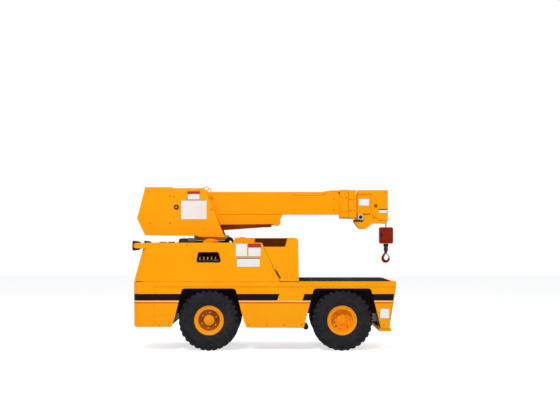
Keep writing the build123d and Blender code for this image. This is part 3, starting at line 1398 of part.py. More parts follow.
save("chassis_frame", chassis_frame())
save("turret_pedestal", turret_pedestal())
for side_name, side_sign in SIDES.items():
    save(f"side_panel_{side_name}", side_panel(side_sign))
save("counterweight", counterweight())
save("front_bumper", front_bumper())
save("headlamps", headlamps())
save("deck_plate", deck_plate())
save("deck_tread", deck_tread())
hood_parts = {RIGHT: hood_right(), LEFT: hood_left()}
for side_name, side_sign in SIDES.items():
    save(f"hood_{side_name}", hood_parts[side_sign])
save("rear_grille", rear_grille())
save("engine_block", engine_block())
save("valve_bank", valve_bank())
save("cowl", cowl())
save("hydraulic_tank", hydraulic_tank())
save("station_walls", station_walls())
save("seat_base", seat_base())
save("seat_cushion", seat_cushion())
save("seat_back", seat_back())
save("steering_wheel", steering_wheel())
save("dashboard", dashboard())
save("controls", controls())
save("tail_lamps", tail_lamps())
save("tail_lenses", tail_lenses())
save("tail_lamp_arms", tail_lamp_arms(hood_parts))
save("exhaust", exhaust())
save("front_axle", front_axle())
save("rear_axle_beam", rear_axle_beam())
for side_name, side_sign in SIDES.items():
    save(f"knuckle_{side_name}", knuckle(side_sign))
save("tie_rod", tie_rod())
lugged_tyre = tyre()
for end_name, wheel_x, deep in (("front", FRONT_AXLE_X, True), ("rear", REAR_AXLE_X, False)):
    rim_part = wheel_rim(deep)
    for side_name, side_sign in SIDES.items():
        save(f"tyre_{end_name}_{side_name}", place_wheel(lugged_tyre, wheel_x, side_sign))
        save(f"rim_{end_name}_{side_name}", place_wheel(rim_part, wheel_x, side_sign))
save("turret", turret())
save("boom_base", boom_base())
save("boom_mid", boom_mid())
save("boom_tip", boom_tip())
save("hoist", hoist())
save("lift_barrel", lift_barrel())
save("lift_rod", lift_rod())
save("hoist_rope", hoist_rope())
save("hook_block", hook_block())
save("hook", hook())
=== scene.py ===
import bpy
import math
from mathutils import Matrix, Vector


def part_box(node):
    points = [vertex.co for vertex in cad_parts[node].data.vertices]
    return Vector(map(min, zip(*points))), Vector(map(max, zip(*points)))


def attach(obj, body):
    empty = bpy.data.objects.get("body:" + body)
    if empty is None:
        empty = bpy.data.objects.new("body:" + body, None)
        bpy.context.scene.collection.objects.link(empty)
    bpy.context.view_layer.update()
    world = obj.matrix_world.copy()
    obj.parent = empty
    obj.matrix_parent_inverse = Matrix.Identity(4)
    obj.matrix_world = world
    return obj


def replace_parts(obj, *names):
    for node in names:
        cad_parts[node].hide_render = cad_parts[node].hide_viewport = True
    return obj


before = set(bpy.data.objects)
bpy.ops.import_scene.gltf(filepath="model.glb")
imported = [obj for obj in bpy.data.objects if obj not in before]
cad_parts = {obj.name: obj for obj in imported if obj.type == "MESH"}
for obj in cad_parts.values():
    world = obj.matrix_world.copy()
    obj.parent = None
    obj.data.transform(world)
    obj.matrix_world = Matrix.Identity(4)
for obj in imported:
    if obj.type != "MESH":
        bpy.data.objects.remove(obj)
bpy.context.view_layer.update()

# Camera
# It stands level with the turret's foot, far back on the machine's right, as the photograph was taken.
# The shift puts the machine where it sits in the photograph's frame.
camera = bpy.data.objects.new("camera", bpy.data.cameras.new("camera"))
bpy.context.scene.collection.objects.link(camera)
camera.location = (0.13, -15.03, 1.396)
camera.rotation_euler = (math.radians(90), 0, 0)
camera.data.sensor_width = 36
camera.data.lens = 73
camera.data.shift_x = 0.008
camera.data.shift_y = 0.0545
camera.data.clip_end = 200
bpy.context.scene.camera = camera
bpy.context.scene.view_settings.view_transform = "Standard"


# Studio floor and backdrop
# A pale sheet under the machine, white far off, with a soft shadow.
# What the camera, metal and glass see behind it is the world's plain white.
def add_node(tree, kind, inputs=None, **settings):
    """Adds a node; an input is a number, a colour of three parts or the socket that feeds it."""
    made = tree.nodes.new(kind)
    for label, value in settings.items():
        setattr(made, label, value)
    for label, value in (inputs or {}).items():
        if isinstance(value, bpy.types.NodeSocket):
            tree.links.new(value, made.inputs[label])
        else:
            made.inputs[label].default_value = (*value, 1) if isinstance(value, tuple) else value
    return made


def calc(tree, operation, first, second=0.0, third=0.0):
    """One sum on up to three values."""
    return add_node(tree, "ShaderNodeMath", {0: first, 1: second, 2: third}, operation=operation).outputs[0]


def mix_colour(tree, share, first, second):
    """Blends two colours by a share."""
    return add_node(tree, "ShaderNodeMix", {0: share, 6: first, 7: second}, data_type="RGBA").outputs[2]


def seen_rays(tree):
    """1 for what the camera sees, straight or through metal and glass."""
    path = add_node(tree, "ShaderNodeLightPath")
    seen = calc(tree, "ADD", path.outputs["Is Camera Ray"], path.outputs["Is Glossy Ray"])
    seen = calc(tree, "ADD", seen, path.outputs["Is Transmission Ray"])
    return calc(tree, "MINIMUM", seen, 1.0)


def start_material(label):
    """An empty material, its node tree and the object's own coordinates."""
    made = bpy.data.materials.new(label)
    made.use_nodes = True
    made.node_tree.nodes.clear()
    return made, made.node_tree, add_node(made.node_tree, "ShaderNodeTexCoord").outputs["Object"]


WORLD_LIGHT = (0.3, 0.31, 0.33)
world = bpy.data.worlds.new("studio")
bpy.context.scene.world = world
world.use_nodes = True
sky = world.node_tree
sky.nodes.clear()
sky_colour = mix_colour(sky, seen_rays(sky), WORLD_LIGHT, (1, 1, 1))
sky_light = add_node(sky, "ShaderNodeBackground", {"Color": sky_colour, "Strength": 1.0})
add_node(sky, "ShaderNodeOutputWorld", {"Surface": sky_light.outputs[0]})

bpy.ops.mesh.primitive_plane_add(size=60, location=(0, 0, -0.001))
floor = bpy.context.object
floor.name = "floor"
floor_material, sheet, _ = start_material("floor sheet")
sheet_matt = add_node(sheet, "ShaderNodeBsdfDiffuse", {"Color": (0.86, 0.86, 0.86)})
sheet_white = add_node(sheet, "ShaderNodeEmission", {"Color": (1, 1, 1), "Strength": 0.68})
sheet_both = add_node(sheet, "ShaderNodeAddShader", {0: sheet_matt.outputs[0], 1: sheet_white.outputs[0]})
sheet_seen = add_node(sheet, "ShaderNodeMixShader", {
    0: seen_rays(sheet), 1: sheet_matt.outputs[0], 2: sheet_both.outputs[0]})
add_node(sheet, "ShaderNodeOutputMaterial", {"Surface": sheet_seen.outputs[0]})
floor.data.materials.append(floor_material)

# Soft lamps
# One high source from the camera's side, small enough to shade the wheels' dishes, with weaker ones around.
LAMPS = (
    ("key", (-2.5, -9.5, 8.5), 2.0, 800),
    ("front fill", (8.0, -5.0, 4.0), 5.0, 140),
    ("rear fill", (-8.5, 3.0, 4.5), 5.0, 140),
    ("far side", (2.0, 9.0, 6.0), 6.0, 240),
)
for lamp_name, lamp_place, lamp_size, lamp_power in LAMPS:
    lamp_data = bpy.data.lights.new(lamp_name, "AREA")
    lamp_data.shape = "SQUARE"
    lamp_data.size = lamp_size
    lamp_data.energy = lamp_power
    lamp = bpy.data.objects.new(lamp_name, lamp_data)
    lamp.location = lamp_place
    lamp.rotation_euler = (Vector((0, 0, 0.9)) - lamp.location).to_track_quat("-Z", "Y").to_euler()
    bpy.context.scene.collection.objects.link(lamp)


# Chassis frame and axles
# Welded rails with a drive axle in front and a steered box beam in the rear, in satin black enamel.
# The paint film that every painted piece shares fades slowly, ripples and holds dust low down.
def noise(tree, place, scale, detail=3.0, roughness=0.55):
    """Cloudy variation on the object's own coordinates."""
    return add_node(tree, "ShaderNodeTexNoise", {
        "Vector": place, "Scale": scale, "Detail": detail, "Roughness": roughness}).outputs["Fac"]


def spread(tree, value, low, high, out_low=0.0, out_high=1.0):
    """Stretches a value's range and holds it to the new ends."""
    ends = {"From Min": low, "From Max": high, "To Min": out_low, "To Max": out_high}
    return add_node(tree, "ShaderNodeMapRange", {"Value": value, **ends}).outputs[0]


RIPPLE_SCALE = 260.0
film = bpy.data.node_groups.new("paint film", "ShaderNodeTree")
film.interface.new_socket("Dust Top", in_out="INPUT", socket_type="NodeSocketFloat")
for label in ("Fade", "Dust", "Ripple"):
    film.interface.new_socket(label, in_out="OUTPUT", socket_type="NodeSocketFloat")
dust_top = film.nodes.new("NodeGroupInput").outputs["Dust Top"]
place = add_node(film, "ShaderNodeTexCoord").outputs["Object"]
height = add_node(film, "ShaderNodeSeparateXYZ", {0: place}).outputs["Z"]
broken = spread(film, noise(film, place, 9.0, 6.0, 0.7), 0.3, 0.75)
low_down = spread(film, height, 0.15, dust_top, 1.0, 0.0)
add_node(film, "NodeGroupOutput", {
    "Fade": spread(film, noise(film, place, 1.7), 0.35, 0.7),
    "Dust": calc(film, "MULTIPLY", broken, low_down),
    "Ripple": noise(film, place, RIPPLE_SCALE, 2.0),
})
DUST = (0.3, 0.22, 0.13)
LOW_SHINE = 0.08


def surface(tree, looks, height, strength, distance=0.001, edge=0.0):
    """Ends a material: its shader, with bump from a height, over edges softened where the real ones are."""
    bump = add_node(tree, "ShaderNodeBump", {"Height": height, "Strength": strength, "Distance": distance})
    if edge:
        soft = add_node(tree, "ShaderNodeBevel", {"Radius": edge}, samples=4)
        tree.links.new(soft.outputs[0], bump.inputs["Normal"])
    shader = add_node(tree, "ShaderNodeBsdfPrincipled", {**looks, "Normal": bump.outputs[0]})
    add_node(tree, "ShaderNodeOutputMaterial", {"Surface": shader.outputs[0]})


def painted(label, colour, faded, roughness, dust=0.25, dust_top=0.6, coat=0.0, edge=0.003, bands=None):
    """Sprayed paint: it fades a little, ripples finely and gathers dust low down."""
    made, tree, place = start_material(label)
    layer = add_node(tree, "ShaderNodeGroup", node_tree=film)
    layer.inputs["Dust Top"].default_value = dust_top
    tone = mix_colour(tree, layer.outputs["Fade"], colour, faded)
    if bands:
        tone = bands(tree, place, tone)
    dusty = calc(tree, "MULTIPLY", layer.outputs["Dust"], dust)
    surface(tree, {
        "Base Color": mix_colour(tree, dusty, tone, DUST),
        "Roughness": calc(tree, "MULTIPLY_ADD", dusty, 0.5, roughness),
        "Specular IOR Level": LOW_SHINE, "Coat Weight": coat, "Coat Roughness": 0.12,
    }, layer.outputs["Ripple"], 0.06, edge=edge)
    return made


def coat_nodes(material, *nodes):
    """Gives CAD nodes their finish."""
    for node_name in nodes:
        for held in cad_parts[node_name].material_slots:
            held.material = material


black_enamel = painted(
    "black enamel", (0.022, 0.02, 0.019), (0.034, 0.031, 0.029), 0.42, dust=0.45, dust_top=0.9)
axle_enamel = painted(
    "axle enamel", (0.028, 0.026, 0.025), (0.045, 0.04, 0.036), 0.5, dust=0.7, dust_top=0.7)
coat_nodes(black_enamel, "chassis_frame")
coat_nodes(axle_enamel, "front_axle", "rear_axle_beam", "knuckle_right", "knuckle_left", "tie_rod")


# Tyres
# Lugged rubber on a steel rim: a ribbed sidewall and heavy slanted bars from the crown over each shoulder.
# One tyre is modelled about its own middle, outer side to +y, and copied to the four wheels.
def leave_edit():
    """Writes the mesh that is being edited, if there is one."""
    if bpy.context.mode != "OBJECT":
        bpy.ops.object.mode_set(mode="OBJECT")


def clear_choice():
    """Leaves edit mode with nothing selected, because an operator acts on all that is."""
    leave_edit()
    bpy.ops.object.select_all(action="DESELECT")


def hold(piece):
    """Makes a piece the one thing that operators act on."""
    clear_choice()
    piece.select_set(True)
    bpy.context.view_layer.objects.active = piece


def choose(test):
    """Selects the faces whose middle and normal pass, in edit mode."""
    bpy.ops.object.mode_set(mode="EDIT")
    bpy.ops.mesh.select_mode(type="FACE")
    bpy.ops.mesh.select_all(action="DESELECT")
    leave_edit()
    for face in bpy.context.object.data.polygons:
        face.select = bool(test(face.center, face.normal))
    bpy.ops.object.mode_set(mode="EDIT")


def extrude(*moves):
    """Draws the chosen faces out, move by move."""
    for move in moves:
        bpy.ops.mesh.extrude_region_move(TRANSFORM_OT_translate={"value": move})


def bevel_all(width, segments=1):
    """Rounds every edge of the piece at hand."""
    bpy.ops.object.mode_set(mode="EDIT")
    bpy.ops.mesh.select_all(action="SELECT")
    bpy.ops.mesh.bevel(offset=width, segments=segments, affect="EDGES")
    leave_edit()


def block(low, high, bevel=0, segments=1):
    """A box between two corners, its edges rounded where a bevel is given."""
    clear_choice()
    middle = [(a + b) / 2 for a, b in zip(low, high)]
    bpy.ops.mesh.primitive_cube_add(size=1, location=middle, scale=[b - a for a, b in zip(low, high)])
    bpy.ops.object.transform_apply(location=True, rotation=True, scale=True)
    if bevel:
        bevel_all(bevel, segments)
    return bpy.context.object


def turned(points, centre=(0, 0, 0), along=(0, 1, 0), steps=48, out=None):
    """Draws a profile of (along the axis, radius) in mm point by point and spins it closed."""
    clear_choice()
    centre, along = Vector(centre), Vector(along).normalized()
    out = Vector(out or ((1, 0, 0) if along.z else (0, 0, 1)))
    points = [(reach / 1000, radius / 1000) for reach, radius in points]
    bpy.ops.mesh.primitive_plane_add(size=0.01, location=centre + along * points[0][0] + out * points[0][1])
    made = bpy.context.object
    bpy.ops.object.mode_set(mode="EDIT")
    bpy.ops.mesh.select_mode(type="VERT")
    bpy.ops.mesh.select_all(action="SELECT")
    bpy.ops.mesh.merge(type="CENTER")
    for before, after in zip(points, points[1:]):
        move = along * (after[0] - before[0]) + out * (after[1] - before[1])
        bpy.ops.mesh.extrude_vertices_move(TRANSFORM_OT_translate={"value": move})
    bpy.ops.mesh.select_all(action="SELECT")
    bpy.ops.mesh.spin(steps=steps, angle=math.tau, center=centre, axis=along)
    bpy.ops.mesh.select_all(action="SELECT")
    bpy.ops.mesh.remove_doubles(threshold=0.00004)
    bpy.ops.mesh.normals_make_consistent(inside=False)
    leave_edit()
    bpy.ops.object.transform_apply(location=True, rotation=False, scale=False)
    return made


def copies(piece, moves):
    """Copies of a piece, each with its own mesh, moved by matrices; the piece itself is used up."""
    clear_choice()
    made = []
    for move in moves:
        other = piece.copy()
        other.data = piece.data.copy()
        other.data.transform(move @ piece.matrix_world)
        other.matrix_world = Matrix.Identity(4)
        if move.determinant() < 0:
            other.data.flip_normals()
        bpy.context.scene.collection.objects.link(other)
        made.append(other)
    bpy.data.objects.remove(piece)
    return made


def joined(pieces):
    """Several meshes as one."""
    clear_choice()
    for piece in pieces:
        piece.select_set(True)
    bpy.context.view_layer.objects.active = pieces[0]
    bpy.ops.object.join()
    return pieces[0]


def wear(piece, material):
    """Gives a finished piece its one material."""
    leave_edit()
    piece.data.materials.clear()
    piece.data.materials.append(material)
    return piece


def fit(piece, name, body, smooth=35):
    """Names a piece, or several as one, with its place in its mesh, and hangs it on its body."""
    piece = joined(piece) if isinstance(piece, list) else piece
    hold(piece)
    bpy.ops.object.transform_apply(location=True, rotation=True, scale=True)
    bpy.ops.object.shade_smooth_by_angle(angle=math.radians(smooth))
    piece.name = piece.data.name = name
    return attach(piece, body)


rubber, tree, place = start_material("tyre rubber")
patchy = spread(tree, noise(tree, place, 14.0, 6.0, 0.7), 0.35, 0.7)
tone = mix_colour(tree, patchy, (0.01, 0.01, 0.013), (0.026, 0.026, 0.029))
dusty = spread(tree, noise(tree, place, 5.0, 5.0, 0.65), 0.55, 0.85, 0.0, 0.35)
surface(tree, {
    "Base Color": mix_colour(tree, dusty, tone, (0.1, 0.085, 0.07)),
    "Roughness": spread(tree, patchy, 0.0, 1.0, 0.55, 0.78), "Specular IOR Level": LOW_SHINE,
}, noise(tree, place, 320.0, 2.0), 0.25)
UP, AHEAD = (0, 0, 1), (1, 0, 0)
WHEEL_Y = 0.588
AXLE_Z = 0.385
FRONT_X = 0.973
REAR_X = -0.712
TYRE_LUGS = 30
CARCASS = (
    (62, 176), (73, 181), (82, 192), (91, 210), (97, 226), (101, 240),
    (105.5, 262), (106.5, 288), (105, 303), (106.5, 305), (106.5, 310), (103.5, 312),
    (99, 334), (91, 355), (73, 368), (35, 374.5),
)
far_half = [(-y, radius) for y, radius in CARCASS]
shell = turned(far_half + list(reversed(CARCASS)) + far_half[:1], steps=72)
lug = block((-0.026, 0.006, 0.345), (0.006, 0.06, 0.385))
choose(lambda middle, normal: normal.y > 0.9)
bpy.ops.transform.translate(value=(0.012, 0, 0))
extrude((0.009, 0.034, -0.002), (0.001, 0.008, -0.022), (0, 0.0005, -0.022))
bevel_all(0.003, 2)
pitch = math.tau / TYRE_LUGS
across = Matrix.Diagonal((1, -1, 1, 1))
lug_turns = [Matrix.Rotation(pitch * place, 4, "Y") for place in range(TYRE_LUGS)]
lug_turns += [Matrix.Rotation(pitch * (place + 0.5), 4, "Y") @ across for place in range(TYRE_LUGS)]
tyre = wear(joined([shell] + copies(lug, lug_turns)), rubber)
WHEELS = {
    "front_right": (FRONT_X, -1), "front_left": (FRONT_X, 1),
    "rear_right": (REAR_X, -1), "rear_left": (REAR_X, 1),
}
wheel_places = []
for x, side in WHEELS.values():
    hub_middle = Matrix.Translation((x, side * WHEEL_Y, AXLE_Z))
    wheel_places.append(hub_middle @ Matrix.Diagonal((1, side, 1, 1)))
for wheel, copy in zip(WHEELS, copies(tyre, wheel_places)):
    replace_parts(fit(copy, f"lugged_tyre_{wheel}", f"wheel_{wheel}"), f"tyre_{wheel}")


# Rims
# Pressed steel discs welded into rolled rims and painted with the body, with studs, nuts and a hub.
# The driven front wheels are dished deep; the steered rear ones carry their hub out to the rim's face.
YELLOW = (1.0, 0.35, 0.000)
YELLOW_FADED = (1.0, 0.385, 0.002)
body_paint = painted("body paint", YELLOW, YELLOW_FADED, 0.34, dust=0.05, coat=0.03)
wheel_paint = painted("wheel paint", YELLOW, (0.95, 0.32, 0.002), 0.38, dust=0.08, dust_top=1.0, edge=0.001)
# A dark brown paint used two ways: as grease on pins, the lap line and the seam, and as painted shade on
# the turret pedestal, the lift cylinder and a strip at the boom's tip; on the rear hubs it is both.
grease_and_shade_paint = painted(
    "grease and shade paint", (0.5, 0.125, 0.002), (0.1, 0.026, 0.002), 0.45, dust=0.1, dust_top=1.2)
wheel_nut_paint = painted("nut paint", (0.98, 0.42, 0.03), (0.7, 0.26, 0.02), 0.35, dust=0.1, edge=0.001)
RIM_BACK = ((79, 189), (75, 190), (68, 181), (52, 174), (-52, 174), (-66, 178),
            (-71, 188), (-75, 188), (-75, 178), (-58, 158))
FRONT_FACE = ((-52, 0), (-52, 150)), (
    (72, 176), (68, 171), (64, 154), (61, 142), (54, 138), (-20, 134), (-26, 128),
    (-28, 74), (-20, 66), (-18, 48), (-13, 44), (-11, 0))
REAR_FACE = ((23, 0), (23, 150)), (
    (72, 176), (68, 171), (62, 156), (59, 141), (52, 137), (37, 133), (35, 126),
    (35, 70), (60, 67), (68, 62), (69, 47), (80, 43), (84, 38),
    (86, 14), (87, 0))
NUT_COUNT, NUT_CIRCLE = 6, 0.098
HUB_GREASE_AND_SHADE = (0.066, 0.136)
ACROSS = (math.radians(90), 0, 0)


def nut_ring(y, turn):
    """Wheel nuts on their studs, in a ring about the wheel's middle."""
    clear_choice()
    bpy.ops.mesh.primitive_cylinder_add(
        vertices=6, radius=0.0125, depth=0.016, location=(0, y, NUT_CIRCLE), rotation=ACROSS)
    nut = bpy.context.object
    choose(lambda middle, normal: normal.z < -0.9)
    bpy.ops.mesh.inset(thickness=0.003, depth=0.002)
    bpy.ops.mesh.inset(thickness=0.003)
    extrude((0, 0.008, 0))
    turns = [Matrix.Rotation(math.tau * place / NUT_COUNT + turn, 4, "Y") for place in range(NUT_COUNT)]
    return joined(copies(nut, turns))


def rim(face, nuts):
    """One rim with its disc and nuts; the back is closed to the axle."""
    back, front = face
    made = turned(list(back) + list(reversed(RIM_BACK)) + list(front), steps=64)
    return joined([wear(made, wheel_paint), wear(nuts, wheel_nut_paint)])


front_rim = rim(FRONT_FACE, nut_ring(-0.018, 0.3))
# Painted shade: a black disc on the front disc where a hand hole shows dark.
hole_shade_disc = turned([(-25, 0), (-25, 13), (-30, 14), (-30, 0)], (-0.074, 0, -0.08), steps=20)
front_rim = joined([front_rim, wear(hole_shade_disc, black_enamel)])
rear_rim = rim(REAR_FACE, nut_ring(0.045, 0.1))
# The ring round the rear hub is painted dark brown: partly grease, partly painted shade in the dish.
rear_rim.data.materials.append(grease_and_shade_paint)
for face in rear_rim.data.polygons:
    reach = math.hypot(face.center.x, face.center.z)
    if HUB_GREASE_AND_SHADE[0] < reach < HUB_GREASE_AND_SHADE[1] and face.normal.y > 0.3 and face.center.y < 0.046:
        face.material_index = len(rear_rim.data.materials) - 1
rims = copies(front_rim, wheel_places[:2]) + copies(rear_rim, wheel_places[2:])
for wheel, copy in zip(WHEELS, rims):
    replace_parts(fit(copy, f"pressed_rim_{wheel}", f"wheel_{wheel}"), f"rim_{wheel}")


# Body panels, counterweight and front plate
# Rolled steel sheet along both sides with a raised top band, and a cast counterweight that rounds the rear.
# A black band with a pale and an orange line under it runs round them, with a blank gap on each side.
BAND_BOTTOM_Z = 0.64
BAND_TOP_Z = 0.723
PALE_LINE = (0.622, 0.636)
ORANGE_LINE = (0.603, 0.621)
GAP_MIDDLE_X = 0.31
GAP_HALF = 0.158
GAP_SLANT = 0.33


def within(tree, value, low, high, soft=0.001):
    """1 between two values, with a soft edge."""
    above = spread(tree, value, low - soft, low + soft)
    below = spread(tree, value, high - soft, high + soft, 1.0, 0.0)
    return calc(tree, "MULTIPLY", above, below)


def side_bands(tree, place, tone):
    """Paints the bands over the body colour by height, with the gap slanted as the band's ends are."""
    axes = add_node(tree, "ShaderNodeSeparateXYZ", {0: place})
    height = axes.outputs["Z"]
    side = calc(tree, "SIGN", axes.outputs["Y"])
    lean = calc(tree, "MULTIPLY", calc(tree, "SUBTRACT", height, BAND_BOTTOM_Z), GAP_SLANT)
    shifted = calc(tree, "ADD", axes.outputs["X"], calc(tree, "MULTIPLY", lean, side))
    off_middle = calc(tree, "ABSOLUTE", calc(tree, "SUBTRACT", shifted, GAP_MIDDLE_X))
    outside_gap = spread(tree, off_middle, GAP_HALF - 0.001, GAP_HALF + 0.001)
    black = calc(tree, "MULTIPLY", within(tree, height, BAND_BOTTOM_Z, BAND_TOP_Z), outside_gap)
    tone = mix_colour(tree, within(tree, height, *PALE_LINE), tone, (0.98, 0.62, 0.22))
    tone = mix_colour(tree, within(tree, height, *ORANGE_LINE), tone, (0.86, 0.1, 0.006))
    return mix_colour(tree, black, tone, (0.003, 0.002, 0.003))


banded_paint = painted(
    "banded body paint", YELLOW, YELLOW_FADED, 0.34, dust=0.04, coat=0.03, bands=side_bands)
coat_nodes(banded_paint, "side_panel_right", "side_panel_left", "counterweight")
coat_nodes(body_paint, "front_bumper")

# Panel bolts
# Bolts with washers hold the side panels and the hoods to the frame.
# They are copies of one hex head, in rows along the panels' foot and at the hoods' corners.
bolt_steel = painted(
    "bolt paint", (0.88, 0.33, 0.01), (0.55, 0.2, 0.02), 0.4, dust=0.2, dust_top=3.0, edge=0.0)
WASHER = 0.002


def bolt_head(radius):
    """A hex head on its washer, standing on y = 0 towards -y."""
    clear_choice()
    bpy.ops.mesh.primitive_cylinder_add(
        vertices=16, radius=radius * 1.5, depth=WASHER, location=(0, -WASHER / 2, 0), rotation=ACROSS)
    washer = bpy.context.object
    height = radius * 0.8
    bpy.ops.mesh.primitive_cylinder_add(
        vertices=6, radius=radius, depth=height, location=(0, -WASHER - height / 2, 0), rotation=ACROSS)
    choose(lambda middle, normal: normal.z > 0.9)
    bpy.ops.mesh.bevel(offset=radius * 0.15, segments=1, affect="EDGES")
    return joined([washer, bpy.context.object])


def bolts(places, radius, side):
    """Bolt heads at points of one upright face; side is the way that they stand out along y."""
    turn = Matrix.Identity(4) if side < 0 else Matrix.Rotation(math.pi, 4, "Z")
    made = copies(bolt_head(radius), [Matrix.Translation(place) @ turn for place in places])
    return wear(joined(made), bolt_steel)


PANEL_Y = 0.717
HOOD_Y = 0.725
panel_bolts = []
for side in (-1, 1):
    low_row = [(x, side * PANEL_Y, 0.335) for x in (-1.34, -1.22, -0.2, 0.02, 0.24, 0.46, 1.5)]
    hood_row = [(x, side * HOOD_Y, z) for x, z in ((-1.33, 1.338), (-0.985, 1.338), (0.34, 0.947))]
    panel_bolts.append(bolts(low_row, 0.007, side))
    panel_bolts.append(bolts(hood_row, 0.006, side))
fit(panel_bolts, "panel_bolts", "chassis")

# Deck
# A steel deck plate bent down at its edges, with a coarse black grit coating that boots have smoothed.
# A strip of the same coating covers the joint between the deck and the cowl.
deck_grit, tree, place = start_material("deck grit")
grit = add_node(tree, "ShaderNodeTexVoronoi", {"Vector": place, "Scale": 190.0}).outputs["Distance"]
trodden = spread(tree, noise(tree, place, 3.5, 5.0, 0.6), 0.4, 0.75)
surface(tree, {
    "Base Color": mix_colour(tree, trodden, (0.008, 0.008, 0.008), (0.022, 0.02, 0.018)),
    "Roughness": spread(tree, trodden, 0.0, 1.0, 0.98, 0.85), "Specular IOR Level": 0.02,
}, grit, 0.5, 0.002)
joint_strip = block((0.4256, -0.7, 0.879), (0.4314, 0.7, 0.8868), 0.001)
fit(wear(joint_strip, deck_grit), "deck_joint_strip", "chassis")
coat_nodes(body_paint, "deck_plate")
coat_nodes(deck_grit, "deck_tread")

# Hoods, grille and engine
# Two sheet steel hoods cover the engine bay, with a window on the right and a slatted grille in the rear.
# The engine shows as a plain block behind the slats, and the valves behind the window have brass bodies.
engine_paint = painted(
    "engine enamel", (0.03, 0.055, 0.05), (0.045, 0.075, 0.065), 0.45, dust=0.6, dust_top=1.2)
slat_paint = painted(
    "slat enamel", (0.03, 0.027, 0.025), (0.055, 0.045, 0.035), 0.45, dust=0.3, dust_top=1.6)
coat_nodes(body_paint, "hood_right", "hood_left")
coat_nodes(slat_paint, "rear_grille")
coat_nodes(engine_paint, "engine_block")


def metal(label, colour, tarnish, roughness, scale=40.0, strength=0.08):
    """Bare or plated metal with cloudy tarnish and fine scratches."""
    made, tree, place = start_material(label)
    cloudy = spread(tree, noise(tree, place, scale, 6.0, 0.65), 0.38, 0.72)
    surface(tree, {
        "Base Color": mix_colour(tree, cloudy, colour, tarnish),
        "Roughness": spread(tree, cloudy, 0.0, 1.0, roughness, roughness + 0.25), "Metallic": 1.0,
    }, noise(tree, place, scale * 8), strength, 0.0005)
    return made


brass = metal("valve brass", (0.62, 0.36, 0.1), (0.2, 0.12, 0.06), 0.3)
coil_blue = painted("coil enamel", (0.03, 0.055, 0.12), (0.05, 0.07, 0.12), 0.45, dust=0.2, dust_top=3.0)
coat_nodes(black_enamel, "valve_bank")
FIRST_VALVE_X, VALVE_STEP, VALVES = -0.83, 0.05, 5
spools = []
for number in range(VALVES):
    spool = turned(
        [(0, 0), (0, 15), (30, 15), (32, 19), (42, 19), (44, 10), (62, 8), (64, 12), (76, 12), (78, 0)],
        (FIRST_VALVE_X + VALVE_STEP * number, -0.63, 1.112), UP, 20)
    spools.append(wear(spool, brass))
coil = turned([(0, 0), (0, 14), (4, 17), (66, 17), (70, 14), (70, 0)], (-0.655, -0.665, 1.142), AHEAD, 24)
spools.append(wear(coil, coil_blue))
fit(spools, "valve_spools", "chassis")


def pipe(points, radius, detail=(6, 3), swell=None):
    """A bent bar along a smooth path, its ends closed; swell scales its radius at each point."""
    line = bpy.data.curves.new("pipe", "CURVE")
    line.dimensions = "3D"
    run = line.splines.new("NURBS")
    run.points.add(len(points) - 1)
    for point, place, share in zip(run.points, points, swell or [1] * len(points)):
        point.co = (*place, 1)
        point.radius = share
    run.order_u = 3
    run.use_endpoint_u = True
    run.resolution_u, line.bevel_resolution = detail
    line.bevel_depth = radius
    line.use_fill_caps = True
    made = bpy.data.objects.new("pipe", line)
    bpy.context.scene.collection.objects.link(made)
    hold(made)
    bpy.ops.object.convert(target="MESH")
    return bpy.context.object


valve_pipes = []
for number in range(VALVES):
    x = FIRST_VALVE_X + VALVE_STEP * number
    run = pipe([(x, -0.66, 1.1), (x, -0.685, 1.06), (x + 0.03, -0.69, 0.98), (x + 0.05, -0.66, 0.9)], 0.009)
    valve_pipes.append(wear(run, black_enamel))
fit(valve_pipes, "valve_pipes", "chassis")

# Hood hinges and edge beads
# Pressed steel strap hinges with round knuckles along each hood's top edge.
# A rolled bead runs along the foot of each hood and a weld bead along the side panel behind the rear wheel.
hinge_parts = []
for side in (-1, 1):
    for x in (-1.3, -0.62):
        strap = block((x - 0.045, side * 0.6 - 0.03, 1.3675), (x + 0.045, side * 0.6 + 0.03, 1.3715), 0.001)
        knuckle = turned([(-45, 0), (-45, 6), (45, 6), (45, 0)], (x, side * 0.57, 1.374), AHEAD, 16)
        hinge_parts += [wear(strap, body_paint), wear(knuckle, black_enamel)]
fit(hinge_parts, "hood_hinges", "chassis")
EDGE_BEADS = (
    ([(0, 0), (0, 4), (1, 5.2), (1720, 5.2), (1721, 4), (1721, 0)], -1.545, 0.7185, 0.878),
    ([(0, 0), (0, 3), (1, 3.6), (319, 3.6), (320, 3), (320, 0)], -1.515, 0.7165, 0.465))
edge_beads = []
for side in (-1, 1):
    for profile, x, y, z in EDGE_BEADS:
        edge_beads.append(wear(turned(profile, (x, side * y, z), AHEAD, 12), body_paint))
fit(edge_beads, "panel_edge_beads", "chassis")

# Oil tank and its pipes
# A welded steel tank in the body colour, with a flat turned filler cap in its top.
# Five rigid black pipes, bent along smooth paths, rise behind it; two of them run lower than the rest.
coat_nodes(body_paint, "hydraulic_tank")
filler = turned([(0, 0), (0, 40), (4, 42), (8, 40), (10, 34), (10, 0)], (-0.3, -0.18, 1.4305), UP, 24)
fit(wear(filler, body_paint), "tank_filler", "chassis")
tank_pipes = []
for y, drop in ((-0.235, 0.0), (-0.19, 0.0), (-0.145, 0.0), (-0.225, 0.024), (-0.18, 0.024)):
    run = pipe([
        (-0.418, y, 1.3), (-0.428, y, 1.38), (-0.44, y, 1.424 - drop), (-0.485, y + 0.02, 1.434 - drop),
        (-0.518, y + 0.04, 1.412 - drop), (-0.528, y + 0.05, 1.36)], 0.0125)
    tank_pipes.append(wear(run, black_enamel))
fit(tank_pipes, "tank_pipes", "chassis")

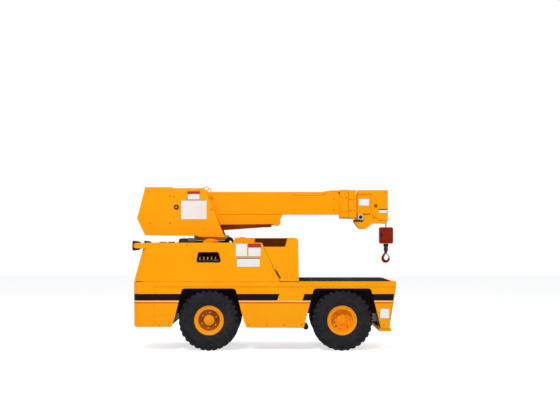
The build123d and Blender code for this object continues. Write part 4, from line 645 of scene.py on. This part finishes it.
# Swing drive and bearing guard
# A turned black gearbox stands on the hood behind the bearing, with a grey-green motor beside it.
# The guard is a turned disc with its top cut off level, upright beside the bearing ring.
motor_green = painted("motor enamel", (0.16, 0.19, 0.15), (0.1, 0.11, 0.09), 0.4, dust=0.3, dust_top=2.0)
gearbox = turned(
    [(0, 0), (0, 74), (12, 78), (20, 70), (50, 66), (56, 52), (60, 0)], (-1.06, -0.225, 1.366), UP, 32)
swing_motor = turned(
    [(0, 0), (0, 28), (14, 31), (90, 31), (100, 24), (104, 0)], (-1.01, -0.262, 1.398), AHEAD, 28)
fit([wear(gearbox, black_enamel), wear(swing_motor, motor_green)], "swing_drive", "chassis")
guard = turned(
    [(-9, 0), (-9, 128), (-6, 132), (6, 132), (9, 128), (9, 0)], (-0.712, -0.268, 1.293), steps=64)
bpy.ops.object.mode_set(mode="EDIT")
bpy.ops.mesh.select_all(action="SELECT")
bpy.ops.mesh.bisect(plane_co=(-0.712, -0.268, 1.366), plane_no=UP, use_fill=True, clear_inner=True)
fit(wear(guard, body_paint), "bearing_guard", "chassis")
coat_nodes(body_paint, "turret")
# The pedestal is painted dark brown as painted shade under the turret.
coat_nodes(grease_and_shade_paint, "turret_pedestal")

# Cowl, dashboard and operator's station
# Body-coloured sheet walls with a dark brown sheet of painted shade on the centre wall, a bent latch rod,
# and a black dashboard with gauges.
# Each gauge is a turned bezel with a pale face, set into the dashboard towards the seat.
coat_nodes(body_paint, "cowl", "station_walls")
# Painted shade: a dark brown sheet on the wall's face, where the boom's shadow falls inside the station.
shade_lining_paint = painted(
    "wall shade lining", (0.115, 0.03, 0.001), (0.07, 0.02, 0.001), 0.85, dust=0.05, edge=0.001)
shade_lining = block((-0.138, 0.0585, 1.02), (0.392, 0.0598, 1.424))
choose(lambda middle, normal: normal.y < -0.9)
bpy.ops.mesh.inset(thickness=0.012, depth=0.0)
bpy.ops.mesh.inset(thickness=0.003, depth=-0.0004)
fit(wear(shade_lining, shade_lining_paint), "wall_shade_lining", "chassis")
door_latch = pipe(
    [(0.13, -0.727, 1.024), (0.137, -0.731, 1.012), (0.18, -0.731, 0.937), (0.187, -0.727, 0.925)], 0.0085)
fit(wear(door_latch, black_enamel), "cowl_latch", "chassis")
coat_nodes(black_enamel, "dashboard", "seat_base", "controls")
gauge_face = painted("gauge face", (0.55, 0.55, 0.5), (0.45, 0.44, 0.38), 0.3, dust=0.0, edge=0.0)
chrome = metal("plated metal", (0.62, 0.62, 0.62), (0.38, 0.38, 0.39), 0.14, scale=18.0, strength=0.03)
dash_low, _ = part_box("dashboard")
GAUGE_Z = 1.33
FACE_RADIUS = 0.031
gauges = []
for y in (0.27, 0.37, 0.47, 0.57):
    bezel = turned(
        [(0, 0), (0, 34), (4, 38), (10, 38), (12, 34), (7, 31), (7, 0)], (dash_low.x + 0.001, y, GAUGE_Z),
        (-1, 0, 0), 28)
    wear(bezel, chrome)
    bezel.data.materials.append(gauge_face)
    for face in bezel.data.polygons:
        if math.hypot(face.center.y - y, face.center.z - GAUGE_Z) < FACE_RADIUS:
            face.material_index = 1
    gauges.append(bezel)
fit(gauges, "gauges", "chassis")

# Control knobs
# Moulded black knobs screwed on the four levers beside the seat.
# Each is turned to stand on a lever that the frame carries.
knob_plastic = painted(
    "moulded plastic", (0.02, 0.02, 0.022), (0.034, 0.034, 0.036), 0.35, dust=0.15, dust_top=3.0, edge=0.0)
_, controls_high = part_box("controls")
knobs = []
for y in (0.084, 0.108, 0.132, 0.156):
    knob = turned(
        [(0, 0), (0, 6), (10, 8), (22, 13), (34, 13), (41, 8), (43, 0)],
        (0.205, y, controls_high.z - 0.044), UP, 20)
    knobs.append(wear(knob, knob_plastic))
fit(knobs, "lever_knobs", "chassis")


# Seat
# A foam seat pad and a back pad in pebbled black vinyl, polished where the operator sits.
# Each is inflated as cloth from a rounded block a little inside its place, then gets two sewn channels.
def stuffed(pad):
    """Inflates a closed shape as cloth; no point moves further than the puff. Left as a plain mesh."""
    hold(pad)
    remesh = pad.modifiers.new("remesh", "REMESH")
    remesh.mode = "VOXEL"
    remesh.voxel_size = 0.009
    bpy.ops.object.modifier_apply(modifier="remesh")
    rest = [vertex.co.copy() for vertex in pad.data.vertices]
    cloth = pad.modifiers.new("cloth", "CLOTH")
    cloth.settings.use_pressure = True
    cloth.settings.uniform_pressure_force = 4
    cloth.settings.effector_weights.gravity = 0
    steps = 16
    for step in range(1, steps + 1):
        bpy.context.scene.frame_set(step)
    bpy.ops.object.modifier_apply(modifier="cloth")
    bpy.context.scene.frame_set(1)
    for vertex, start in zip(pad.data.vertices, rest):
        move = vertex.co - start
        if move.length > PAD_PUFF:
            vertex.co = start + move.normalized() * PAD_PUFF


def sewn_pad(node, low_inset, high_inset, face):
    """A stuffed pad inside a node's box, with sewn channels pressed along the way that it faces."""
    low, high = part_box(node)
    pad = block(low + Vector(low_inset), high - Vector(high_inset), 0.022, 3)
    stuffed(pad)
    face = Vector(face)
    middle = ((low + high) / 2).dot(face) + 0.01
    for vertex in pad.data.vertices:
        near = min(abs(vertex.co.y - line) for line in SEAMS_Y)
        if near < SEAM_REACH and vertex.co.dot(face) > middle:
            vertex.co -= SEAM_DEPTH * (1 - near / SEAM_REACH) ** 0.6 * face
        vertex.co = [min(max(value, a), b) for value, a, b in zip(vertex.co, low, high)]
    return wear(pad, vinyl)


vinyl, tree, place = start_material("seat vinyl")
pebble = add_node(tree, "ShaderNodeTexVoronoi", {"Vector": place, "Scale": 420.0}).outputs["Distance"]
rubbed = spread(tree, noise(tree, place, 6.0, 4.0, 0.6), 0.4, 0.7)
surface(tree, {
    "Base Color": mix_colour(tree, rubbed, (0.017, 0.017, 0.018), (0.036, 0.035, 0.034)),
    "Roughness": spread(tree, rubbed, 0.0, 1.0, 0.55, 0.38),
}, pebble, 0.35, 0.0006)
PAD_PUFF = 0.012
SEAMS_Y = (0.35, 0.49)
SEAM_REACH = 0.012
SEAM_DEPTH = 0.01
cushion = sewn_pad("seat_cushion", (0.01, 0.01, 0.008), (0.01, 0.01, 0.008), UP)
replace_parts(fit(cushion, "seat_pad", "chassis", 60), "seat_cushion")
back = sewn_pad("seat_back", (0.022, 0.01, 0.01), (0.012, 0.01, 0.01), AHEAD)
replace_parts(fit(back, "back_pad", "chassis", 60), "seat_back")

# Steering wheel
# A moulded rim on three pressed spokes, with a turned hub and cap, on a steel column below it.
# It is made lying flat about its own middle and then tilted back towards the seat.
WHEEL_MIDDLE = Vector((0.19, 0.42, 1.24))
TILT = math.radians(-40)
clear_choice()
bpy.ops.mesh.primitive_torus_add(
    major_radius=0.165, minor_radius=0.0125, major_segments=56, minor_segments=14)
steering_parts = [wear(bpy.context.object, knob_plastic)]
hub = turned([(-14, 0), (-14, 34), (6, 35), (13, 26), (15, 0)], along=UP, steps=32)
steering_parts.append(wear(hub, knob_plastic))
spoke = block((0.02, -0.011, -0.004), (0.158, 0.011, 0.002), 0.0015)
spokes = copies(spoke, [Matrix.Rotation(math.tau * turn / 3 + math.pi, 4, "Z") for turn in range(3)])
steering_parts.append(wear(joined(spokes), slat_paint))
column = turned([(-282, 0), (-282, 30), (-230, 30), (-225, 21), (-12, 21), (-12, 0)], along=UP, steps=24)
steering_parts.append(wear(column, slat_paint))
steering = joined(steering_parts)
steering.data.transform(
    Matrix.Translation(WHEEL_MIDDLE) @ Matrix.Rotation(TILT, 4, "Y") @ steering.matrix_world)
steering.matrix_world = Matrix.Identity(4)
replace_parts(fit(steering, "steering_wheel_and_column", "chassis"), "steering_wheel")

# Wing plates
# Plain black sheets stand on the rails behind the wheels and close the arches towards the middle.
# They keep clear of the rear wheels at full lock.
WING_Y = (0.257, 0.261)
WING_Z = (0.56, 0.866)
wings = []
for side in (-1, 1):
    rear_end = -0.228 if side < 0 else -0.336
    for x_a, x_b in ((-1.198, rear_end), (0.48, 1.466)):
        y_a, y_b = sorted(side * y for y in WING_Y)
        wing = block((x_a, y_a, WING_Z[0]), (x_b, y_b, WING_Z[1]))
        choose(lambda middle, normal: abs(normal.y) > 0.9)
        bpy.ops.mesh.inset(thickness=0.03, depth=0.0)
        bpy.ops.mesh.inset(thickness=0.006, depth=-0.0012)
        wings.append(wear(wing, black_enamel))
fit(wings, "wing_plates", "chassis")


# Lamps
# Round lamps in turned black shells: two clear ones let into the front plate, two red ones on rear arms.
# Each has a plated ring and a domed, moulded lens with ribs.
def lens_material(label, colour, glow):
    """Moulded lens with ring ribs; light seems to come from within."""
    made, tree, place = start_material(label)
    ribs = add_node(tree, "ShaderNodeTexWave", {"Vector": place, "Scale": 90.0}, bands_direction="Z")
    cloudy = noise(tree, place, 30.0)
    surface(tree, {
        "Base Color": mix_colour(tree, cloudy, colour, glow),
        "Roughness": spread(tree, cloudy, 0.3, 0.7, 0.1, 0.22), "Coat Weight": 0.6,
    }, ribs.outputs["Fac"], 0.3)
    return made


red_lens = lens_material("red lens", (0.42, 0.01, 0.006), (0.62, 0.03, 0.015))
clear_lens = lens_material("clear lens", (0.62, 0.64, 0.64), (0.8, 0.81, 0.8))


def lamp(front, facing, radius, depth, lens):
    """A shell, plated ring and domed lens; front is the middle of the lens, sizes are in mm."""
    shell = turned([
        (-depth, 0), (-depth, radius * 0.55), (-depth * 0.75, radius * 0.86), (-12, radius * 0.98),
        (-6, radius), (0, radius), (0, radius * 0.93), (-10, radius * 0.9), (-10, 0)], front, facing, 36)
    ring = turned([(-6, radius * 0.9), (1, radius * 0.96), (3, radius * 0.93), (2, radius * 0.86),
                   (-4, radius * 0.85), (-6, radius * 0.9)], front, facing, 36)
    glass = turned(
        [(-8, 0), (-8, radius * 0.87), (-2, radius * 0.86), (1, radius * 0.6), (3, radius * 0.3), (3, 0)],
        front, facing, 36)
    return [wear(shell, black_enamel), wear(ring, chrome), wear(glass, lens)]


tail_low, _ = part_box("tail_lamps")
tail_parts = []
for side in (-1, 1):
    tail_parts += lamp((tail_low.x + 0.004, side * 0.64, 1.331), (-1, 0, 0), 64, 105, red_lens)
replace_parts(fit(tail_parts, "rear_lamps", "chassis"), "tail_lamps", "tail_lenses")
coat_nodes(body_paint, "tail_lamp_arms")
head_low, head_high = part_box("headlamps")
head_parts = []
for side in (-1, 1):
    head_parts += lamp((head_high.x - 0.003, side * 0.56, 0.56), AHEAD, 62,
                       (head_high.x - head_low.x) * 1000 - 4, clear_lens)
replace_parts(fit(head_parts, "front_lamps", "chassis"), "headlamps")

# Exhaust
# A plain steel pipe with its hanger strap under the right side, ending just inside the panel.
# It is blued and rusty from heat.
rusty_pipe = metal("heated pipe", (0.1, 0.075, 0.06), (0.17, 0.065, 0.025), 0.5, scale=26.0, strength=0.2)
coat_nodes(rusty_pipe, "exhaust")

# Turret
# Bolt heads, the ring and end of the boom's pivot pin, and the lift cylinder's pin, on both side plates.
# A bent round-bar hose guide stands over each plate's front corner.
TURRET_BOLTS = (
    (-1.239, 1.973), (-1.19, 1.964), (-0.7, 1.8), (-1.498, 1.619), (-1.239, 1.619), (-1.52, 2.035),
    (-0.87, 2.035))
TURRET_FACE_Y = 0.2995
BOOM_PIVOT, LIFT_PIVOT = (-1.156, 1.829), (-0.811, 1.567)
TURRET_PINS = (
    ([(0, 0), (0, 34), (6.5, 34), (8.5, 31), (8.5, 14), (6.5, 13), (6.5, 0)], BOOM_PIVOT, 40, black_enamel),
    ([(6, 0), (6, 12.5), (8, 12.5), (8.8, 11), (8.8, 0)], BOOM_PIVOT, 28, body_paint),
    ([(0, 0), (0, 26), (4, 26), (7, 22), (7, 0)], LIFT_PIVOT, 28, body_paint))
HOSE_GUIDE = ((-0.835, 2.06), (-0.785, 2.087), (-0.755, 2.096), (-0.738, 2.084), (-0.744, 2.04))
turret_bolts = []
for side in (-1, 1):
    turret_bolts.append(bolts([(x, side * 0.3, z) for x, z in TURRET_BOLTS], 0.0085, side))
    for profile, (x, z), steps, finish in TURRET_PINS:
        pin = turned(profile, (x, side * TURRET_FACE_Y, z), (0, side, 0), steps)
        turret_bolts.append(wear(pin, finish))
    guide = pipe([(x, side * 0.296, z) for x, z in HOSE_GUIDE], 0.005)
    turret_bolts.append(wear(guide, body_paint))
fit(turret_bolts, "turret_bolts_and_pins", "turret")

# Blank plates
# Thin white enamelled plates with rounded corners and a dark edge line; some have a red or dark top band.
# Each is two or three thin sheets, one proud of the other, and every one of them is blank.
plate_white = painted(
    "enamelled plate", (0.93, 0.92, 0.9), (0.84, 0.82, 0.78), 0.3, dust=0.05, dust_top=3.0, edge=0.0)
plate_red = painted(
    "red plate band", (0.62, 0.03, 0.02), (0.5, 0.03, 0.02), 0.3, dust=0.1, dust_top=3.0, edge=0.0)
plate_dark = painted(
    "dark plate edge", (0.05, 0.05, 0.06), (0.09, 0.09, 0.09), 0.35, dust=0.1, dust_top=3.0, edge=0.0)


def round_corners(made, corner, segments=3):
    """Rounds the edges of a box that run across the machine."""
    bpy.ops.object.mode_set(mode="EDIT")
    bpy.ops.mesh.select_all(action="DESELECT")
    leave_edit()
    for edge in made.data.edges:
        start, end = [made.data.vertices[number].co for number in edge.vertices]
        edge.select = abs(start.y - end.y) > (start - end).length / 2
    bpy.ops.object.mode_set(mode="EDIT")
    bpy.ops.mesh.select_mode(type="EDGE")
    bpy.ops.mesh.bevel(offset=corner, segments=segments, affect="EDGES")


def sheet_piece(x, z, y, proud, corner, material):
    """One thin sheet on the right side, from its x and z spans, standing proud of y."""
    made = block((x[0], y - proud, z[0]), (x[1], y, z[1]))
    round_corners(made, corner)
    return wear(made, material)


def plate(x, z, y, band=None, share=0.3):
    """A plate with a dark edge line, a white field and, where wanted, a band along its top."""
    edge = 0.003
    parts = [sheet_piece(x, z, y, 0.0004, 0.006, plate_dark)]
    field, foot, top = (x[0] + edge, x[1] - edge), z[0] + edge, z[1] - edge
    parts.append(sheet_piece(field, (foot, top), y, 0.0007, 0.004, plate_white))
    if band:
        foot = top - (z[1] - z[0]) * share
        parts.append(sheet_piece(field, (foot, top), y, 0.0009, 0.002, band))
    return parts


turret_plates = plate((-1.014, -0.85), (1.925, 2.034), -0.3, plate_red)
turret_plates += plate((-1.096, -0.759), (1.668, 1.918), -0.3)
fit(turret_plates, "turret_plates", "turret")
hood_plates = plate((-0.375, -0.224), (1.194, 1.359), -0.725)
hood_plates += plate((-0.216, -0.053), (1.194, 1.359), -0.725, plate_red)
hood_plates += plate((-0.359, -0.065), (1.062, 1.176), -0.725, plate_dark, 0.06)
hood_plates += plate((1.447, 1.566), (0.412, 0.539), -0.717)
fit(hood_plates, "side_plates", "chassis")

# Lift cylinder
# A honed steel barrel, painted dark brown as painted shade under the boom, with a screwed gland and two oil
# ports, on an eye at the turret's lug.
# The rod is chromed and ends in an eye with its pin between the boom's cheeks.
CYLINDER_BASE = Vector((-0.811, 0, 1.567))
CYLINDER_EYE = Vector((0.147, 0, 1.636))
cylinder_line = (CYLINDER_EYE - CYLINDER_BASE).normalized()
cylinder_up = Vector((-cylinder_line.z, 0, cylinder_line.x))
span = (CYLINDER_EYE - CYLINDER_BASE).length * 1000
EYE_RING = ((-0.5, 25.6), (-0.5, 45), (-0.46, 48), (0.46, 48), (0.5, 45), (0.5, 25.6), (-0.5, 25.6))


def eye_ring(middle, width):
    """A bored eye across the machine, its width in mm."""
    return turned([(y * width, radius) for y, radius in EYE_RING], middle, steps=40)


barrel = turned([(42, 0), (46, 38), (58, 50), (64, 56.5), (92, 56.5), (96, 53.5), (795, 53.5), (799, 56.5),
                 (span - 78, 56.5), (span - 71, 52), (span - 71, 34), (span - 120, 34), (span - 120, 0)],
                CYLINDER_BASE, cylinder_line, out=cylinder_up)
# Barrel and base eye wear the dark brown paint: painted shade from the boom above.
barrel_parts = [wear(barrel, grease_and_shade_paint), wear(eye_ring(CYLINDER_BASE, 106), grease_and_shade_paint)]
for reach in (110, span - 105):
    port = turned([(50, 0), (50, 16), (64, 16), (66, 12), (74, 12), (74, 0)],
                  CYLINDER_BASE + cylinder_line * reach / 1000, steps=6, out=cylinder_up)
    barrel_parts.append(wear(port, black_enamel))
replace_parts(fit(barrel_parts, "cylinder_barrel", "lift_barrel"), "lift_barrel")
rod = turned([(160, 0), (160, 31.5), (span - 60, 31.5), (span - 56, 36), (span - 40, 36), (span - 34, 28),
              (span - 34, 0)], CYLINDER_BASE, cylinder_line, 40, cylinder_up)
eye_pin = turned([(-86, 0), (-86, 22), (-83, 24.5), (83, 24.5), (86, 22), (86, 0)], CYLINDER_EYE, steps=28)
rod_parts = [wear(rod, chrome), wear(eye_ring(CYLINDER_EYE, 90), body_paint), wear(eye_pin, slat_paint)]
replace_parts(fit(rod_parts, "cylinder_rod", "lift_rod"), "lift_rod")

# Boom sections
# Three welded box sections that slide in each other, with collars and bolted wear pads at their front ends.
# All are painted with the body, with bolt heads, a lap line, a seam, blank plates and a stowed pin.
coat_nodes(body_paint, "boom_base", "boom_mid", "boom_tip")
base_bolts, middle_bolts, tip_bolts = [], [], []
COLLAR_Y, BOOM_Y, NOSE_Y = 0.144, 0.128, 0.112
LAP_LINE = ((0.337, 1.989), (0.6, 1.989), (0.744, 1.989), (0.79, 2.015), (0.818, 2.04))
for side in (-1, 1):
    base_row = [(x, side * COLLAR_Y, z) for x in (0.998, 1.062) for z in (1.783, 1.96)]
    base_row += [(x, side * BOOM_Y, z) for x, z in ((-0.699, 1.948), (0.896, 1.939), (0.896, 1.799))]
    middle_row = [(x, side * COLLAR_Y, z) for x in (1.113, 1.16) for z in (1.793, 1.936)]
    tip_row = [(1.235, side * 0.1, 2.032), (1.575, side * NOSE_Y, 2.032), (1.42, side * NOSE_Y, 1.7)]
    lap = pipe([(x, side * 0.1278, z) for x, z in LAP_LINE], 0.0016)
    base_bolts += [bolts(base_row, 0.008, side), wear(lap, grease_and_shade_paint)]
    middle_bolts.append(bolts(middle_row, 0.008, side))
    tip_bolts.append(bolts(tip_row, 0.007, side))
    seam = block((-0.62, side * 0.1283 - 0.0005, 1.7365), (0.228, side * 0.1283 + 0.0005, 1.7395))
    base_bolts.append(wear(seam, grease_and_shade_paint))
clip = block((0.956, -0.142, 2.014), (0.984, -0.1275, 2.034), 0.002)
base_bolts.append(wear(clip, slat_paint))
fit(base_bolts, "boom_base_bolts", "boom")
fit(middle_bolts, "boom_middle_bolts", "boom_middle")
tip_plates = plate((1.222, 1.366), (1.852, 1.948), -0.1)
tip_plates += plate((1.484, 1.598), (1.756, 1.812), -0.112, plate_dark, 0.22)
jib_pin = turned(
    [(-110, 0), (-110, 22), (-108, 23.5), (108, 23.5), (110, 22), (110, 0)], (1.446, 0, 1.851), steps=28)
# Painted shadow: a dark brown strip under the tip section and a dark patch under the hoist motor.
painted_shadow_strips = [sheet_piece((1.28, 1.377), (1.738, 1.749), -0.1, 0.0008, 0.002, grease_and_shade_paint)]
painted_shadow_strips.append(sheet_piece((1.16, 1.275), (1.64, 1.667), -0.1, 0.0008, 0.008, slat_paint))
tip_parts = tip_bolts + tip_plates + painted_shadow_strips + [wear(jib_pin, grease_and_shade_paint)]
fit(tip_parts, "boom_end_fittings", "boom_end")

# Hoist drum, motor and sheave
# The drum is turned with two flanges and holds one layer of rope; its motor stands out of the right plate.
# The sheave is a grooved casting on a greased shaft between the nose plates.
rope_steel = metal("rope steel", (0.2, 0.19, 0.18), (0.09, 0.08, 0.07), 0.45, scale=90.0, strength=0.2)
cast_steel = metal("cast steel", (0.26, 0.25, 0.24), (0.12, 0.1, 0.08), 0.42, scale=30.0, strength=0.15)
DRUM = (1.302, 0, 1.65)
HOIST_MOTOR = (1.246, -0.1, 1.702)
SHEAVE = (1.535, 0, 1.7)
NOSE_X = 1.59
ROPE_TURNS = 10
WRAP_PITCH = 15.8
wrap_line = [(-79, 47)]
for turn in range(ROPE_TURNS):
    wrap_line += [(WRAP_PITCH * (turn + share) - 79, 50 + 6 * rise)
                  for share, rise in ((0.05, 0.0), (0.3, 0.8), (0.5, 1.0), (0.7, 0.8), (0.95, 0.0))]
wrap_line.append((79, 47))
HOIST_PIECES = (
    ([(-88, 0), (-88, 68), (-85, 72), (-82, 72), (-80, 69), (-80, 48), (80, 48), (80, 69), (82, 72),
      (85, 72), (88, 68), (88, 0)], DRUM, (0, 1, 0), 44, slat_paint),
    (wrap_line, DRUM, (0, 1, 0), 36, rope_steel),
    ([(0, 0), (0, 34), (2, 36.5), (28, 36.5), (30, 0)], HOIST_MOTOR, (0, -1, 0), 36, black_enamel),
    ([(24, 22), (24, 38.5), (26, 40), (31, 40), (34, 37), (34, 26), (30, 22), (24, 22)],
     HOIST_MOTOR, (0, -1, 0), 40, chrome),
    ([(-14, 12), (-14, 22), (-8, 24), (-6, 46), (-13, 60), (-12, 63.5), (-9, 64), (-3, 53), (3, 53),
      (9, 64), (12, 63.5), (13, 60), (6, 46), (8, 24), (14, 22), (14, 12), (-14, 12)],
     SHEAVE, (0, 1, 0), 56, cast_steel))
hoist_parts = []
for profile, middle, along, steps, finish in HOIST_PIECES:
    hoist_parts.append(wear(turned(profile, middle, along, steps), finish))
head_run = pipe([
    (1.302, 0, 1.706), (1.42, 0, 1.731), (1.505, 0, 1.752), (1.545, 0, 1.7585), (1.578, 0, 1.745),
    (NOSE_X, 0, 1.718), (NOSE_X, 0, 1.7)], 0.0055)
hoist_parts.append(wear(head_run, rope_steel))
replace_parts(fit(hoist_parts, "hoist_and_sheave", "boom_end"), "hoist")

# Hoist rope
# Six strands of steel wire laid round a core, taut between the sheave and the block.
# The fall is one ring of lobes, extruded upwards and turned a little at each step.
ROPE_LOW_Z, ROPE_HIGH_Z, ROPE_STEPS = 1.371, 1.7, 66
clear_choice()
bpy.ops.mesh.primitive_circle_add(
    vertices=24, radius=0.007, fill_type="NGON", location=(NOSE_X, 0, ROPE_LOW_Z))
fall = bpy.context.object
for vertex in fall.data.vertices:
    if vertex.index % 4 == 0:
        vertex.co *= 0.78
bpy.ops.object.mode_set(mode="EDIT")
bpy.ops.mesh.select_mode(type="FACE")
bpy.ops.mesh.select_all(action="SELECT")
for step in range(1, ROPE_STEPS + 1):
    rise = (ROPE_HIGH_Z - ROPE_LOW_Z) / ROPE_STEPS
    extrude((0, 0, rise))
    bpy.ops.transform.rotate(
        value=math.radians(12), orient_axis="Z", center_override=(NOSE_X, 0, ROPE_LOW_Z + rise * step))
bpy.ops.mesh.select_all(action="SELECT")
bpy.ops.mesh.normals_make_consistent(inside=False)
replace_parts(fit(wear(fall, rope_steel), "hoist_rope_fall", "hoist_rope", 60), "hoist_rope")

# Hook block
# A heavy cast weight with rounded corners and a hand slot, in dark red paint that is chipped to the metal.
# The slot is cut through it and closed inside by a black plate that is painted shade; the rope is socketed
# in its top.
block_red, tree, place = start_material("block red")
chips = spread(tree, noise(tree, place, 60.0, 8.0, 0.75), 0.6, 0.66)
fade = spread(tree, noise(tree, place, 9.0, 4.0), 0.35, 0.7)
red = mix_colour(tree, fade, (0.2, 0.009, 0.001), (0.3, 0.018, 0.002))
surface(tree, {
    "Base Color": mix_colour(tree, chips, red, (0.055, 0.045, 0.042)),
    "Roughness": spread(tree, chips, 0.0, 1.0, 0.42, 0.6), "Specular IOR Level": LOW_SHINE,
}, chips, -0.25, 0.0008)
weight = block((1.502, -0.07, 1.355), (1.68, 0.07, 1.571))
round_corners(weight, 0.022, 5)
bevel_all(0.004, 2)
slot_cut = block((1.506, -0.08, 1.438), (1.54, 0.08, 1.494), 0.012, 3)
hold(weight)
cutting = weight.modifiers.new("hand slot", "BOOLEAN")
cutting.object = slot_cut
cutting.solver = "EXACT"
bpy.ops.object.modifier_apply(modifier="hand slot")
bpy.data.objects.remove(slot_cut)
# Painted shade: a black plate closes the slot where its inside lies in shade.
slot_shade_plate = block((1.504, -0.06, 1.436), (1.542, 0.06, 1.496))
socket_cup = turned(
    [(-10, 0), (-10, 20), (-1, 20), (0, 17), (0, 9), (-8, 8.5), (-8, 0)], (NOSE_X, 0, 1.571), UP, 28)
weight_parts = [wear(weight, block_red), wear(slot_shade_plate, black_enamel), wear(socket_cup, slat_paint)]
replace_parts(fit(weight_parts, "hook_weight", "hook_block"), "hook_block")

# Hook
# A forged swivel hook: a turned neck with its nut, a bow that is thickest at the back, and a sprung latch.
# The bow's section follows its line from the neck round to the blunt tip.
BOW = (
    (-2, 1240, 13), (-22, 1212, 14), (-40, 1182, 17), (-42, 1152, 20), (-28, 1127, 21), (0, 1118, 20),
    (26, 1127, 17), (40, 1150, 13), (43, 1176, 9), (38, 1192, 6))
bow_line = [(NOSE_X + x / 1000, 0, z / 1000) for x, z, _ in BOW]
bow = pipe(bow_line, 0.0195, (8, 5), [radius / 20 for _, _, radius in BOW])
neck = turned([
    (1225, 0), (1225, 14), (1232, 16.5), (1262, 24), (1266, 28), (1300, 29), (1304, 25), (1312, 25),
    (1318, 33), (1350, 33), (1353, 30), (1353, 0)], (NOSE_X, 0, 0), UP, 32)
latch = pipe([(1.598, 0, 1.222), (1.604, 0, 1.214), (1.614, 0, 1.204), (1.627, 0, 1.19)], 0.005)
hook_parts = [wear(neck, slat_paint), wear(bow, block_red), wear(latch, slat_paint)]
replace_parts(fit(hook_parts, "swivel_hook", "hook", 50), "hook")
